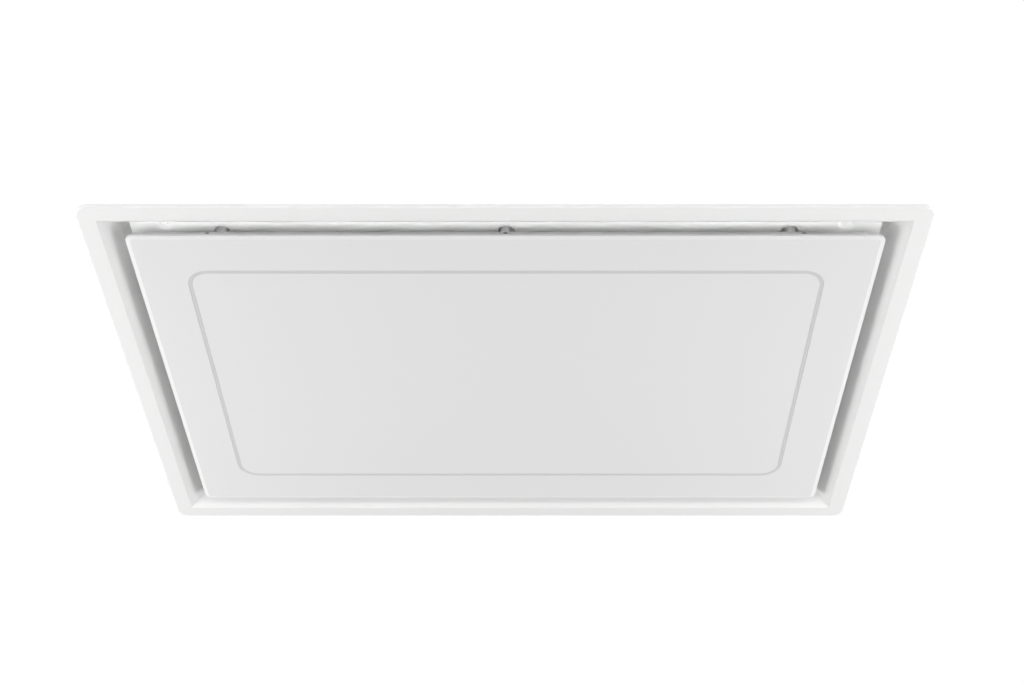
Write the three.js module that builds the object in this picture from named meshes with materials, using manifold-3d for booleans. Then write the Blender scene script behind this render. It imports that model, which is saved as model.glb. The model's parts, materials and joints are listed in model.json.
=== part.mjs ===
// A recessed ceiling range hood with edge suction, drawn in millimetres with +Z up.
// The origin is the centre of the ceiling plane, on which the trim flange's folded lip bears:
// everything below z = 0 shows in the room, and everything above it is inside the ceiling.
// -X is the left side and -Y the front, as seen by the person who opens the panel.

import * as THREE from "three";
import { mergeVertices } from "three/addons/utils/BufferGeometryUtils.js";
import Module from "manifold-3d";

const wasm = await Module();
wasm.setup();

// ---------------------------------------------------------------- driving dimensions

const HOOD_LENGTH = 900; // along X, over the flange
const HOOD_WIDTH = 600; // along Y, over the flange
const SEAT = 0.3; // gap kept between two pieces that rest on each other

// Trim frame: one folded and welded sheet
const TRIM_SHEET = 1.2;
const FLANGE_WIDTH = 20;
const FLANGE_CORNER_R = 13;
const LIP_HEIGHT = 5; // how far the flange stands below the ceiling
const LIP_HEM = 2.4; // the lip is folded double
const LIP_BEND_R = 1.6;
const FLANGE_BEND_R = 2.5;
const SLOPE_RUN = 19;
const SLOPE_RISE = 16.5;
const SLOPE_BEND_R = 3;
const RECESS_DEPTH = 40; // from the flange's face up to the deck

// Deck: the white sheet that closes the recess and carries filters and catches
const DECK_SHEET = 1.5;
const DECK_BORDER_X = 57; // from the recess wall to the filter opening
const DECK_BORDER_Y = 76;
const FILTER_WEB = 26.4; // deck left between the two filter openings
const DIMPLE_R = 10;
const DIMPLE_FLOOR_R = 6;
const DIMPLE_DEPTH = 2;
const SCREW_INSET_X = 38; // from the recess wall to the screw
const SCREW_INSET_Y = 27;
const SCREW_HEAD_R = 3.6;
const SCREW_HEAD_HEIGHT = 2.4;
const SCREW_SHANK_R = 2;
const SCREW_REACH = 6; // shank above the housing's flange
const HOLE_GAP = 0.3; // radial gap of a fixed screw or stub in its hole

// Housing above the deck
const GASKET_THICKNESS = 2.4;
const GASKET_WIDTH = 12;
const GASKET_INSET = 1;
const HOUSING_SHEET = 1;
const HOUSING_HEIGHT = 170;
const HOUSING_FLANGE = 44; // turned in under the walls, all round
const COVER_SHEET = 1.2;
const COVER_SKIRT = 10;

// Hanging brackets on the cover
const HANGER_SHEET = 2.5;
const HANGER_WIDTH = 60;
const HANGER_FOOT = 40;
const HANGER_LEG = 40;
const HANGER_RISE = 45;
const HANGER_INSET_Y = 60; // from the cover's edge to the bracket's middle
const HANGER_SLOT_LENGTH = 22;
const HANGER_SLOT_WIDTH = 9;

// Suction panel
const PANEL_GAP = 24; // all round, from the flange's inner edge
const PANEL_THICKNESS = 4;
const PANEL_CORNER_R = 9;
const PANEL_BEVEL_WIDTH = 5;
const PANEL_BEVEL_DROP = 1;
const TRAY_INSET = 14; // from the panel's edge to the tray's wall
const TRAY_HEIGHT = 16.7;
const TRAY_SHEET = 1;
const TRAY_RETURN = 12; // the wall's foot, turned in on the panel's back
const TRAY_CORNER_R = 3;
const TRAY_EDGE_R = 1.5;

// Light line
const LIGHT_INSET = 57; // from the panel's edge to the line's middle
const LIGHT_WIDTH = 4;
const LIGHT_CORNER_R = 23;
const LIGHT_GAP = 0.15; // on each side of the lens
const LENS_FOOT_WIDTH = 11;
const LENS_FOOT_THICKNESS = 1;
const CHANNEL_WIDTH = 14;
const CHANNEL_HEIGHT = 9;
const CHANNEL_SHEET = 1;
const LED_STRIP_WIDTH = 8;
const LED_STRIP_THICKNESS = 0.7;

// Magnetic catches along the front
const POST_R = 6;
const POST_BASE_R = 9;
const POST_BASE_THICKNESS = 1.5;
const POST_STUB_R = 3;
const POST_STUB_LENGTH = 5;
const POST_CHAMFER = 1;
const POST_END_INSET = 80.6; // from the tray's end to the outer posts
const POST_FRONT_INSET = 20; // from the tray's front wall
const CUP_BORE_R = 9;
const CUP_WALL = 1.5;
const CUP_RIM_R = 11.5;
const CUP_RIM_THICKNESS = 0.8;
const CATCH_DEPTH = 9.7; // how far a post stands in its cup
const MAGNET_R = 8.7;
const MAGNET_THICKNESS = 4;
const RAIL_SHEET = 1.5;
const RAIL_LEG = 28;
const RAIL_DROP = 11;
const RAIL_OVERHANG = 30; // past the outer posts
const RIVET_OFFSET = 10.6; // outer rivets, past their posts
const RIVET_DROP = 4.5; // below the tray's top
const RIVET_HEAD_R = 3.2;
const RIVET_HEAD_THICKNESS = 1;
const RIVET_SHANK_R = 1.5;
const RIVET_BORE_R = 1;
const RIVET_TAIL = 2;

// Panel hinges along the rear
const HINGE_END_INSET = 142; // from the tray's end to the hinge
const HINGE_EDGE_INSET = 24; // from the panel's rear edge to the axis
const HINGE_RISE = 6; // axis above the panel's back
const HINGE_PIN_R = 2.5;
const RUNNING_GAP = 0.06; // radial, pins and shafts in their bores
const HINGE_EYE_R = 4;
const HINGE_ARM_THICKNESS = 4;
const HINGE_SIDE_GAP = 0.4;
const EAR_THICKNESS = 2.5;
const EAR_R = 4.5;
const PIN_HEAD_R = 3.5;
const PIN_HEAD_THICKNESS = 1;
const HINGE_FOOT_LENGTH = 36;
const HINGE_FOOT_WIDTH = 28;
const HINGE_FOOT_SHEET = 2;
const POCKET_HALF_WIDTH = 14;
const POCKET_DEPTH = 28; // in from the tray's rear wall
const POCKET_FLOOR = 1.2;

// Grease filters
const FILTER_GAP = 0.8;
const FILTER_HEIGHT = 9;
const FILTER_RAIL = 14;
const FILTER_FRONT_RAIL = 30; // wider, to hold the latch
const FILTER_MESH_THICKNESS = 6;
const FILTER_MESH_GRIP = 3; // how far the mesh runs into the rails
const TONGUE_WIDTH = 120;
const TONGUE_REACH = 7;
const TONGUE_THICKNESS = 1.5;
const LATCH_WIDTH = 40;
const LATCH_THICKNESS = 3;
const LATCH_REACH = 6.5; // past the filter's front edge
const LATCH_LENGTH = 23;
const LATCH_TRAVEL = 6.5;
const LATCH_TAB_WIDTH = 24;
const LATCH_TAB_LENGTH = 8;
const LATCH_TAB_DROP = 6;

// Blower
const BLOWER_WALL_DISTANCE = 452.2; // from the outlet's wall to the wheel's axis
const BLOWER_Y = 20;
const MOUNT_HEIGHT = 12;
const MOUNT_R = 9;
const MOUNT_WAIST_R = 6.5;
const MOUNT_CIRCLE_R = 110;
const SCROLL_SHEET = 1.5;
const SCROLL_HEIGHT = 102;
const SCROLL_CUTOFF_R = 112;
const SCROLL_GROWTH = 85; // added to the radius over one turn
const SCROLL_TONGUE_OFFSET = 92; // outlet's inner wall, from the centre line
const SCROLL_OUTLET_REACH = 210; // outlet's end, from the centre
const INLET_BORE_R = 80;
const INLET_MOUTH_R = 98;
const INLET_FLANGE_R = 108;
const INLET_SHEET = 1.5;
const INLET_DEPTH = 16;
const WHEEL_R = 100;
const WHEEL_BLADE_DEPTH = 16;
const WHEEL_BLADE_THICKNESS = 1.2;
const WHEEL_BLADES = 32;
const BLADE_LEAN = 0.16; // radians forward, from root to tip
const WHEEL_GAP = 8; // from the scroll's floor and roof to the wheel
const WHEEL_RING_THICKNESS = 2;
const HUB_DISH_R = 58;
const HUB_DISH_DEPTH = 58;
const HUB_SHEET = 2;
const HUB_BOSS_R = 12;
const HUB_BOSS_HEIGHT = 12;
const SHAFT_R = 4;
const MOTOR_R = 48;
const MOTOR_FLANGE_R = 62;
const MOTOR_FLANGE_THICKNESS = 2;
const MOTOR_FLOOR_GAP = 4; // above the hub's dish
const MOTOR_HOLE_R = 52;

// Air outlet with its non-return damper
const SPIGOT_R = 75;
const SPIGOT_WALL = 1.5;
const SPIGOT_INSIDE = 50; // length inside the housing
const SPIGOT_OUTSIDE = 36; // length outside
const SPIGOT_FLANGE_R = 80;
const SPIGOT_FLANGE_THICKNESS = 1.5;
const SLEEVE_LENGTH = 8; // of the adaptor, over the spigot
const ADAPTOR_STRAIGHT = 12;
const DAMPER_SETBACK = 13; // pin, from the spigot's inner end
const DAMPER_PIN_R = 2;
const DAMPER_EDGE_GAP = 1;
const DAMPER_SHEET = 1.2;
const DAMPER_BARREL_R = 3.5;
const DAMPER_BARREL_CLEARANCE = 0.7;
const DAMPER_STOP_WIDTH = 3.5;
const DAMPER_STOP_THICKNESS = 2;
const BARREL_INNER_END = 18; // one flap's barrel runs this far each side of the middle
const BARREL_OUTER_END = 56; // the other flap's barrels run from there to here
const BARREL_END_GAP = 0.5;

// Control box on the cover
const CONTROL_END_INSET = 113.7; // from the cover's left end
const CONTROL_EDGE_INSET = 128.7; // from the cover's rear edge
const CONTROL_LENGTH = 200;
const CONTROL_WIDTH = 130;
const CONTROL_HEIGHT = 34;
const CONTROL_WALL = 2;
const CONTROL_LID_SKIRT = 6;
const BOARD_GAP = 4; // board's edge to the box's wall
const BOARD_THICKNESS = 1.6;
const BOARD_STANDOFF = 5;
const STANDOFF_R = 4;
const STANDOFF_INSET = 9;
const GLAND_THREAD_R = 8;
const GLAND_HEX_R = 13;
const GLAND_HEX_LENGTH = 6;
const GLAND_CAP_R = 10.5;
const GLAND_LENGTH = 24;
const GLAND_BORE_R = 4.5;
const GLAND_TAIL = 3; // thread inside the wall
const CAPACITOR = { x: 30, y: -32, radius: 9, length: 52 };
const LAMP_DRIVER = { x: -28, y: 22, length: 76, width: 34, height: 17 };
const RELAY = { x: 52, y: 26, length: 24, width: 18, height: 15 };
const TERMINAL_ROW = { x: -68, y: -30, length: 18, width: 44, height: 12 };

// ---------------------------------------------------------------- levels and places

const FLANGE_Z = -LIP_HEIGHT;
const DECK_Z = FLANGE_Z + RECESS_DEPTH;
const DECK_TOP = DECK_Z + DECK_SHEET;
const GASKET_Z = DECK_TOP + SEAT;
const HOUSING_Z = GASKET_Z + GASKET_THICKNESS + SEAT;
const HOUSING_TOP = HOUSING_Z + HOUSING_HEIGHT;
const COVER_Z = HOUSING_TOP + SEAT;
const COVER_TOP = COVER_Z + COVER_SHEET;

const RECESS_X = HOOD_LENGTH / 2 - FLANGE_WIDTH - SLOPE_RUN; // inner face of the recess wall
const RECESS_Y = HOOD_WIDTH / 2 - FLANGE_WIDTH - SLOPE_RUN;
const BODY_X = RECESS_X + TRIM_SHEET; // outer face of wall and housing
const BODY_Y = RECESS_Y + TRIM_SHEET;
const COVER_X = BODY_X + SEAT + COVER_SHEET;
const COVER_Y = BODY_Y + SEAT + COVER_SHEET;

const CONTROL_X = -(COVER_X - CONTROL_END_INSET - CONTROL_LENGTH / 2);
const CONTROL_Y = COVER_Y - CONTROL_EDGE_INSET - CONTROL_WIDTH / 2;

const PANEL_X = HOOD_LENGTH / 2 - FLANGE_WIDTH - PANEL_GAP;
const PANEL_Y = HOOD_WIDTH / 2 - FLANGE_WIDTH - PANEL_GAP;
const PANEL_TOP = FLANGE_Z + PANEL_THICKNESS;
const BACK_Z = PANEL_TOP + SEAT; // where everything on the panel's back is seated
const TRAY_X = PANEL_X - TRAY_INSET;
const TRAY_Y = PANEL_Y - TRAY_INSET;
const TRAY_TOP = BACK_Z + TRAY_HEIGHT;
const LIGHT_X = PANEL_X - LIGHT_INSET;
const LIGHT_Y = PANEL_Y - LIGHT_INSET;

const POST_X = TRAY_X - POST_END_INSET;
const POST_Y = -(TRAY_Y - POST_FRONT_INSET);
const POST_TOP = DECK_Z + CATCH_DEPTH;
const CUP_R = CUP_BORE_R + CUP_WALL;
const CUP_CEILING = POST_TOP + SEAT + MAGNET_THICKNESS + SEAT;
const HINGE_X = TRAY_X - HINGE_END_INSET;
const HINGE_Y = PANEL_Y - HINGE_EDGE_INSET;
const HINGE_Z = PANEL_TOP + HINGE_RISE;

const OPENING_X0 = FILTER_WEB / 2;
const OPENING_X1 = RECESS_X - DECK_BORDER_X;
const OPENING_Y = RECESS_Y - DECK_BORDER_Y;
const FILTER_X = (OPENING_X0 + OPENING_X1) / 2;
const FILTER_HALF_X = (OPENING_X1 - OPENING_X0) / 2 - FILTER_GAP;
const FILTER_HALF_Y = OPENING_Y - FILTER_GAP;

const BLOWER_X = BODY_X - BLOWER_WALL_DISTANCE;
const SCROLL_TOP = COVER_Z - SEAT - MOUNT_HEIGHT - SEAT;
const SCROLL_BOTTOM = SCROLL_TOP - SCROLL_HEIGHT;
const SCROLL_END_R = SCROLL_CUTOFF_R + SCROLL_GROWTH;
const OUTLET_X = BLOWER_X + SCROLL_OUTLET_REACH;
const OUTLET_Y = BLOWER_Y - (SCROLL_END_R + SCROLL_TONGUE_OFFSET) / 2;
const OUTLET_Z = (SCROLL_TOP + SCROLL_BOTTOM) / 2;
const OUTLET_HALF_Y = (SCROLL_END_R - SCROLL_TONGUE_OFFSET) / 2;
const SPIGOT_Z = HOUSING_Z + SPIGOT_FLANGE_R; // its flange just clears the housing's foot
const SPIGOT_X0 = BODY_X - SPIGOT_INSIDE;
const SPIGOT_X1 = BODY_X + SPIGOT_OUTSIDE;
const DAMPER_X = SPIGOT_X0 + DAMPER_SETBACK;
const WHEEL_TOP = SCROLL_TOP - SCROLL_SHEET - WHEEL_GAP;
const WHEEL_BOTTOM = SCROLL_BOTTOM + SCROLL_SHEET + WHEEL_GAP;
const DISH_Z = WHEEL_TOP - HUB_DISH_DEPTH; // underside of the hub's dish

const FULL_TURN = 2 * Math.PI;
const QUARTER_TURN = Math.PI / 2;
const PAST = 1; // how far a cutting tool runs past the face that it cuts
const CORNER_STEPS = 4;
const ROUND = 16; // facets of a small round piece
const WIDE_ROUND = 32; // facets of a duct or wheel

// ---------------------------------------------------------------- finishes

function finish(color, roughness, metalness) {
  return new THREE.MeshStandardMaterial({ color, roughness, metalness });
}

const WHITE_PAINT = finish(0xf0f0ee, 0.45, 0);
const PANEL_WHITE = finish(0xe9e9e8, 0.35, 0);
const TRAY_GREY = finish(0xd4d4d2, 0.5, 0);
const OPAL = finish(0xdcdcda, 0.4, 0);
const POLISHED_STEEL = finish(0xc8c9ca, 0.2, 1);
const GALVANISED = finish(0xb4b7ba, 0.45, 0.9);
const ALUMINIUM = finish(0xc2c4c6, 0.4, 1);
const WHITE_PLASTIC = finish(0xe6e6e3, 0.4, 0);
const GREY_PLASTIC = finish(0x8f9193, 0.55, 0);
const BLACK_PLASTIC = finish(0x26272a, 0.5, 0);
const RUBBER = finish(0x1c1c1d, 0.85, 0);
const FOAM = finish(0x3a3b3d, 0.95, 0);
const MAGNET = finish(0x77797c, 0.3, 0.9);
const MOTOR_ENAMEL = finish(0x3f4347, 0.5, 0.6);
const BOARD_GREEN = finish(0x2c5f43, 0.6, 0);

const hood = new THREE.Group();

function add(name, geometry, material) {
  const mesh = new THREE.Mesh(geometry, material);
  mesh.name = name;
  hood.add(mesh);
  return mesh;
}

// ---------------------------------------------------------------- shaping helpers

// Positions only, shared corners merged, slivers of no area dropped and every face turned outwards.
function tidy(geometry) {
  const bare = geometry.clone();
  bare.deleteAttribute("normal");
  bare.deleteAttribute("uv");
  const merged = mergeVertices(bare, 1e-4);
  const corners = merged.index.array;
  const place = merged.attributes.position;
  const a = new THREE.Vector3();
  const b = new THREE.Vector3();
  const c = new THREE.Vector3();
  const kept = [];
  let volume = 0;
  for (let i = 0; i < corners.length; i += 3) {
    const [p, q, r] = [corners[i], corners[i + 1], corners[i + 2]];
    if (p === q || q === r || r === p) continue;
    kept.push(p, q, r);
    a.fromBufferAttribute(place, p);
    b.fromBufferAttribute(place, q);
    c.fromBufferAttribute(place, r);
    volume += a.dot(b.cross(c));
  }
  merged.setIndex(volume < 0 ? kept.reverse() : kept);
  return merged;
}

function toSolid(geometry) {
  const closed = tidy(geometry);
  const vertProperties = new Float32Array(closed.attributes.position.array);
  const triVerts = new Uint32Array(closed.index.array);
  return new wasm.Manifold(new wasm.Mesh({ numProp: 3, vertProperties, triVerts }));
}

function toGeometry(solid) {
  const mesh = solid.getMesh();
  const geometry = new THREE.BufferGeometry();
  geometry.setAttribute("position", new THREE.BufferAttribute(mesh.vertProperties, 3));
  geometry.setIndex(new THREE.BufferAttribute(mesh.triVerts, 1));
  return geometry;
}

function join(...geometries) {
  return toGeometry(geometries.map(toSolid).reduce((whole, next) => whole.add(next)));
}

function cut(body, ...tools) {
  return toGeometry(tools.map(toSolid).reduce((whole, tool) => whole.subtract(tool), toSolid(body)));
}

function common(body, other) {
  return toGeometry(toSolid(body).intersect(toSolid(other)));
}

// A box between two opposite corners.
function block([x0, x1], [y0, y1], [z0, z1]) {
  const box = new THREE.BoxGeometry(x1 - x0, y1 - y0, z1 - z0);
  return box.translate((x0 + x1) / 2, (y0 + y1) / 2, (z0 + z1) / 2);
}

// A box of given half sizes about a middle, between two heights.
function slab(x, y, halfX, halfY, z0, z1) {
  return block([x - halfX, x + halfX], [y - halfY, y + halfY], [z0, z1]);
}

// A solid turned about +Z from [radius, height] points that start and end on the axis, or close.
function turned(profile, segments = ROUND) {
  const points = profile.map(([radius, height]) => new THREE.Vector2(radius, height));
  return tidy(new THREE.LatheGeometry(points, segments).rotateX(QUARTER_TURN));
}

function rod(radius, z0, z1, segments = ROUND) {
  return turned([[0, z0], [radius, z0], [radius, z1], [0, z1]], segments);
}

function alongX(geometry) {
  return geometry.rotateY(QUARTER_TURN);
}

// One loop of a rounded rectangle; a radius of zero or less gives square corners.
function rectangleLoop(halfX, halfY, radius, z) {
  const r = Math.max(radius, 0);
  const corners = [[1, 1], [-1, 1], [-1, -1], [1, -1]];
  return corners.flatMap(([sideX, sideY], corner) =>
    Array.from({ length: CORNER_STEPS + 1 }, (_, step) => {
      const angle = (corner + step / CORNER_STEPS) * QUARTER_TURN;
      const x = sideX * (halfX - r) + r * Math.cos(angle);
      const y = sideY * (halfY - r) + r * Math.sin(angle);
      return [x, y, z];
    }),
  );
}

// Skins a row of equal loops. A ring joins the last loop to the first; otherwise both ends are capped.
function skin(loops, isRing) {
  const count = loops[0].length;
  const positions = loops.flat(2);
  const triangles = [];
  const spans = isRing ? loops.length : loops.length - 1;
  for (let i = 0; i < spans; i += 1) {
    const low = i * count;
    const high = ((i + 1) % loops.length) * count;
    for (let k = 0; k < count; k += 1) {
      const next = (k + 1) % count;
      triangles.push(low + k, low + next, high + next, low + k, high + next, high + k);
    }
  }
  if (!isRing) {
    const last = (loops.length - 1) * count;
    for (let k = 1; k < count - 1; k += 1) {
      triangles.push(0, k + 1, k, last, last + k, last + k + 1);
    }
  }
  const geometry = new THREE.BufferGeometry();
  geometry.setAttribute("position", new THREE.Float32BufferAttribute(positions, 3));
  geometry.setIndex(triangles);
  return tidy(geometry);
}

// A closed section of [outward, z] points swept round a rounded rectangle.
function sweptRing(halfX, halfY, radius, section) {
  const loops = section.map(([out, z]) => rectangleLoop(halfX + out, halfY + out, radius + out, z));
  return skin(loops, true);
}

// A solid block with rounded corners whose outline steps through [outward, z] points.
function roundedBlock(halfX, halfY, radius, section) {
  const loops = section.map(([out, z]) => rectangleLoop(halfX + out, halfY + out, radius + out, z));
  return skin(loops, false);
}

function roundedPlate(halfX, halfY, radius, z0, z1) {
  return roundedBlock(halfX, halfY, radius, [[0, z0], [0, z1]]);
}

// A polygon in plan, given a height.
function prism(points, z0, z1) {
  const shape = new THREE.Shape(points.map(([x, y]) => new THREE.Vector2(x, y)));
  const solid = new THREE.ExtrudeGeometry(shape, { depth: z1 - z0, bevelEnabled: false });
  return solid.translate(0, 0, z0);
}

// The rounded bend that replaces the corner of a folded sheet.
function bend(before, corner, after, radius, steps = 3) {
  const centre = new THREE.Vector2(...corner);
  const toBefore = new THREE.Vector2(...before).sub(centre).normalize();
  const toAfter = new THREE.Vector2(...after).sub(centre).normalize();
  const half = Math.acos(THREE.MathUtils.clamp(toBefore.dot(toAfter), -1, 1)) / 2;
  const run = radius / Math.tan(half);
  const from = centre.clone().addScaledVector(toBefore, run);
  const to = centre.clone().addScaledVector(toAfter, run);
  const curve = new THREE.QuadraticBezierCurve(from, centre, to);
  return curve.getPoints(steps).map((point) => [point.x, point.y]);
}

const LEFT_RIGHT = [["left", -1], ["right", 1]];
const FRONT_REAR = [["front", -1], ["rear", 1]];
const CATCH_PLACES = [["left", -1], ["centre", 0], ["right", 1]];

// ---------------------------------------------------------------- trim frame

// The folded sheet, read inwards from the outer edge: lip, flange, slope and recess wall.
function trimSection() {
  const wall = -(FLANGE_WIDTH + SLOPE_RUN);
  const slopeTop = FLANGE_Z + SLOPE_RISE;
  const lipTop = [0, 0];
  const outerEdge = [0, FLANGE_Z];
  const innerEdge = [-FLANGE_WIDTH, FLANGE_Z];
  const wallFoot = [wall, slopeTop];
  const wallTop = [wall, DECK_Z - SEAT];
  const room = [
    lipTop,
    ...bend(lipTop, outerEdge, innerEdge, LIP_BEND_R),
    ...bend(outerEdge, innerEdge, wallFoot, FLANGE_BEND_R),
    ...bend(innerEdge, wallFoot, wallTop, SLOPE_BEND_R),
    wallTop,
  ];
  // The sheet's hidden side is the same line moved by the sheet's thickness.
  const slopeAngle = Math.atan2(SLOPE_RISE, SLOPE_RUN);
  const shiftFlange = TRIM_SHEET * Math.tan(slopeAngle / 2);
  const shiftWall = TRIM_SHEET * Math.tan((QUARTER_TURN - slopeAngle) / 2);
  const hidden = [
    [wall + TRIM_SHEET, DECK_Z - SEAT],
    [wall + TRIM_SHEET, slopeTop + shiftWall],
    [-FLANGE_WIDTH + shiftFlange, FLANGE_Z + TRIM_SHEET],
    [-LIP_HEM, FLANGE_Z + TRIM_SHEET],
    [-LIP_HEM, 0],
  ];
  return [...room, ...hidden];
}

add("trim_frame", sweptRing(HOOD_LENGTH / 2, HOOD_WIDTH / 2, FLANGE_CORNER_R, trimSection()), WHITE_PAINT);

// ---------------------------------------------------------------- deck

const screwX = RECESS_X - SCREW_INSET_X;
const screwY = RECESS_Y - SCREW_INSET_Y;
const dimpleFloor = DECK_Z + DIMPLE_DEPTH;

function filterOpening(side) {
  return slab(side * FILTER_X, 0, FILTER_HALF_X + FILTER_GAP, OPENING_Y, DECK_Z - PAST, DECK_TOP + PAST);
}

function screwPlaces() {
  return FRONT_REAR.flatMap(([end, signY]) =>
    LEFT_RIGHT.map(([side, signX]) => ({ name: `${end}_${side}`, x: signX * screwX, y: signY * screwY })),
  );
}

function makeDeck() {
  const openings = LEFT_RIGHT.map(([, side]) => filterOpening(side));
  const catchHole = rod(CUP_R + HOLE_GAP, DECK_Z - PAST, DECK_TOP + PAST);
  const catchHoles = CATCH_PLACES.map(([, side]) => catchHole.clone().translate(side * POST_X, POST_Y, 0));
  const bulge = [
    [0, DECK_Z],
    [DIMPLE_R + DECK_SHEET, DECK_Z],
    [DIMPLE_R + DECK_SHEET, DECK_TOP],
    [DIMPLE_FLOOR_R + DECK_SHEET, dimpleFloor + DECK_SHEET],
    [0, dimpleFloor + DECK_SHEET],
  ];
  const hollow = [
    [0, DECK_Z - PAST],
    [DIMPLE_R, DECK_Z - PAST],
    [DIMPLE_R, DECK_Z],
    [DIMPLE_FLOOR_R, dimpleFloor],
    [SCREW_SHANK_R + HOLE_GAP, dimpleFloor],
    [SCREW_SHANK_R + HOLE_GAP, dimpleFloor + DECK_SHEET + PAST],
    [0, dimpleFloor + DECK_SHEET + PAST],
  ];
  const bulges = screwPlaces().map(({ x, y }) => turned(bulge).translate(x, y, 0));
  const hollows = screwPlaces().map(({ x, y }) => turned(hollow).translate(x, y, 0));
  const sheet = slab(0, 0, BODY_X, BODY_Y, DECK_Z, DECK_TOP);
  return cut(join(sheet, ...bulges), ...hollows, ...openings, ...catchHoles);
}

add("deck_plate", makeDeck(), WHITE_PAINT);

// A pan-head screw whose shank runs up into the housing's flange.
for (const { name, x, y } of screwPlaces()) {
  const seat = dimpleFloor - SEAT;
  const tip = HOUSING_Z + HOUSING_SHEET + SCREW_REACH;
  const screw = turned([
    [0, seat - SCREW_HEAD_HEIGHT],
    [SCREW_HEAD_R * 0.6, seat - SCREW_HEAD_HEIGHT * 0.85],
    [SCREW_HEAD_R, seat - SCREW_HEAD_HEIGHT * 0.35],
    [SCREW_HEAD_R, seat],
    [SCREW_SHANK_R, seat],
    [SCREW_SHANK_R, tip],
    [0, tip],
  ]);
  add(`deck_screw_${name}`, screw.translate(x, y, 0), WHITE_PAINT);
}

// ---------------------------------------------------------------- housing

function makeGasket() {
  const top = GASKET_Z + GASKET_THICKNESS;
  const outer = slab(0, 0, BODY_X - GASKET_INSET, BODY_Y - GASKET_INSET, GASKET_Z, top);
  const inset = GASKET_INSET + GASKET_WIDTH;
  const hole = slab(0, 0, BODY_X - inset, BODY_Y - inset, GASKET_Z - PAST, top + PAST);
  return cut(outer, hole);
}

add("body_gasket", makeGasket(), FOAM);

function makeHousing() {
  const floor = HOUSING_Z + HOUSING_SHEET;
  const outer = slab(0, 0, BODY_X, BODY_Y, HOUSING_Z, HOUSING_TOP);
  const inner = slab(0, 0, BODY_X - HOUSING_SHEET, BODY_Y - HOUSING_SHEET, floor, HOUSING_TOP + PAST);
  const mouthX = BODY_X - HOUSING_FLANGE;
  const mouthY = BODY_Y - HOUSING_FLANGE;
  const mouth = slab(0, 0, mouthX, mouthY, HOUSING_Z - PAST, floor + PAST);
  const cupHole = rod(CUP_R + CUP_WALL, HOUSING_Z - PAST, floor + PAST);
  const cupHoles = CATCH_PLACES.map(([, side]) => cupHole.clone().translate(side * POST_X, POST_Y, 0));
  const screwHole = rod(SCREW_SHANK_R + HOLE_GAP, HOUSING_Z - PAST, floor + PAST);
  const screwHoles = screwPlaces().map(({ x, y }) => screwHole.clone().translate(x, y, 0));
  const outletHole = alongX(rod(SPIGOT_R + SEAT, BODY_X - HOUSING_SHEET - PAST, BODY_X + PAST, WIDE_ROUND));
  outletHole.translate(0, OUTLET_Y, SPIGOT_Z);
  return cut(outer, inner, mouth, outletHole, ...cupHoles, ...screwHoles);
}

add("housing_shell", makeHousing(), GALVANISED);

function makeCover() {
  const outer = slab(0, 0, COVER_X, COVER_Y, COVER_TOP - COVER_SKIRT, COVER_TOP);
  const inner = slab(0, 0, BODY_X + SEAT, BODY_Y + SEAT, COVER_TOP - COVER_SKIRT - PAST, COVER_Z);
  return cut(outer, inner);
}

add("housing_cover", makeCover(), GALVANISED);

// A Z-shaped bracket: its foot lies on the cover, and its raised leg points out to the near end.
function makeHanger() {
  const web = COVER_X - HANGER_LEG;
  const foot = COVER_TOP + SEAT;
  const top = foot + HANGER_RISE;
  const outline = [
    [web - HANGER_FOOT, foot],
    [web + HANGER_SHEET, foot],
    [web + HANGER_SHEET, top - HANGER_SHEET],
    [COVER_X, top - HANGER_SHEET],
    [COVER_X, top],
    [web, top],
    [web, foot + HANGER_SHEET],
    [web - HANGER_FOOT, foot + HANGER_SHEET],
  ];
  const bracket = prism(outline, -HANGER_WIDTH / 2, HANGER_WIDTH / 2).rotateX(QUARTER_TURN);
  const slotX = web + HANGER_SHEET + (HANGER_LEG - HANGER_SHEET) / 2;
  const straight = (HANGER_SLOT_LENGTH - HANGER_SLOT_WIDTH) / 2;
  const halfSlot = HANGER_SLOT_WIDTH / 2;
  const slotEnd = rod(halfSlot, top - HANGER_SHEET - PAST, top + PAST);
  const slotEnds = [-straight, straight].map((x) => slotEnd.clone().translate(slotX + x, 0, 0));
  const slotMiddle = slab(slotX, 0, straight, halfSlot, top - HANGER_SHEET - PAST, top + PAST);
  return cut(bracket, ...slotEnds, slotMiddle);
}

for (const [end, signY] of FRONT_REAR) {
  for (const [side, signX] of LEFT_RIGHT) {
    const hanger = makeHanger().rotateZ(signX < 0 ? Math.PI : 0);
    add(`hanger_${end}_${side}`, hanger.translate(0, signY * (COVER_Y - HANGER_INSET_Y), 0), GALVANISED);
  }
}

// ---------------------------------------------------------------- suction panel

function makePanelBorder() {
  const edge = FLANGE_Z + PANEL_BEVEL_DROP;
  const bevelled = [[-PANEL_BEVEL_WIDTH, FLANGE_Z], [0, edge], [0, PANEL_TOP]];
  const plate = roundedBlock(PANEL_X, PANEL_Y, PANEL_CORNER_R, bevelled);
  const out = LIGHT_WIDTH / 2 + LIGHT_GAP;
  const below = FLANGE_Z - PAST;
  const hole = roundedPlate(LIGHT_X + out, LIGHT_Y + out, LIGHT_CORNER_R + out, below, PANEL_TOP + PAST);
  return cut(plate, hole);
}

function makePanelCentre() {
  const inward = LIGHT_WIDTH / 2 + LIGHT_GAP;
  return roundedPlate(LIGHT_X - inward, LIGHT_Y - inward, LIGHT_CORNER_R - inward, FLANGE_Z, PANEL_TOP);
}

add("panel_border", makePanelBorder(), PANEL_WHITE);
add("panel_centre", makePanelCentre(), PANEL_WHITE);

function lightRing(section) {
  return sweptRing(LIGHT_X, LIGHT_Y, LIGHT_CORNER_R, section);
}

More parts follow.
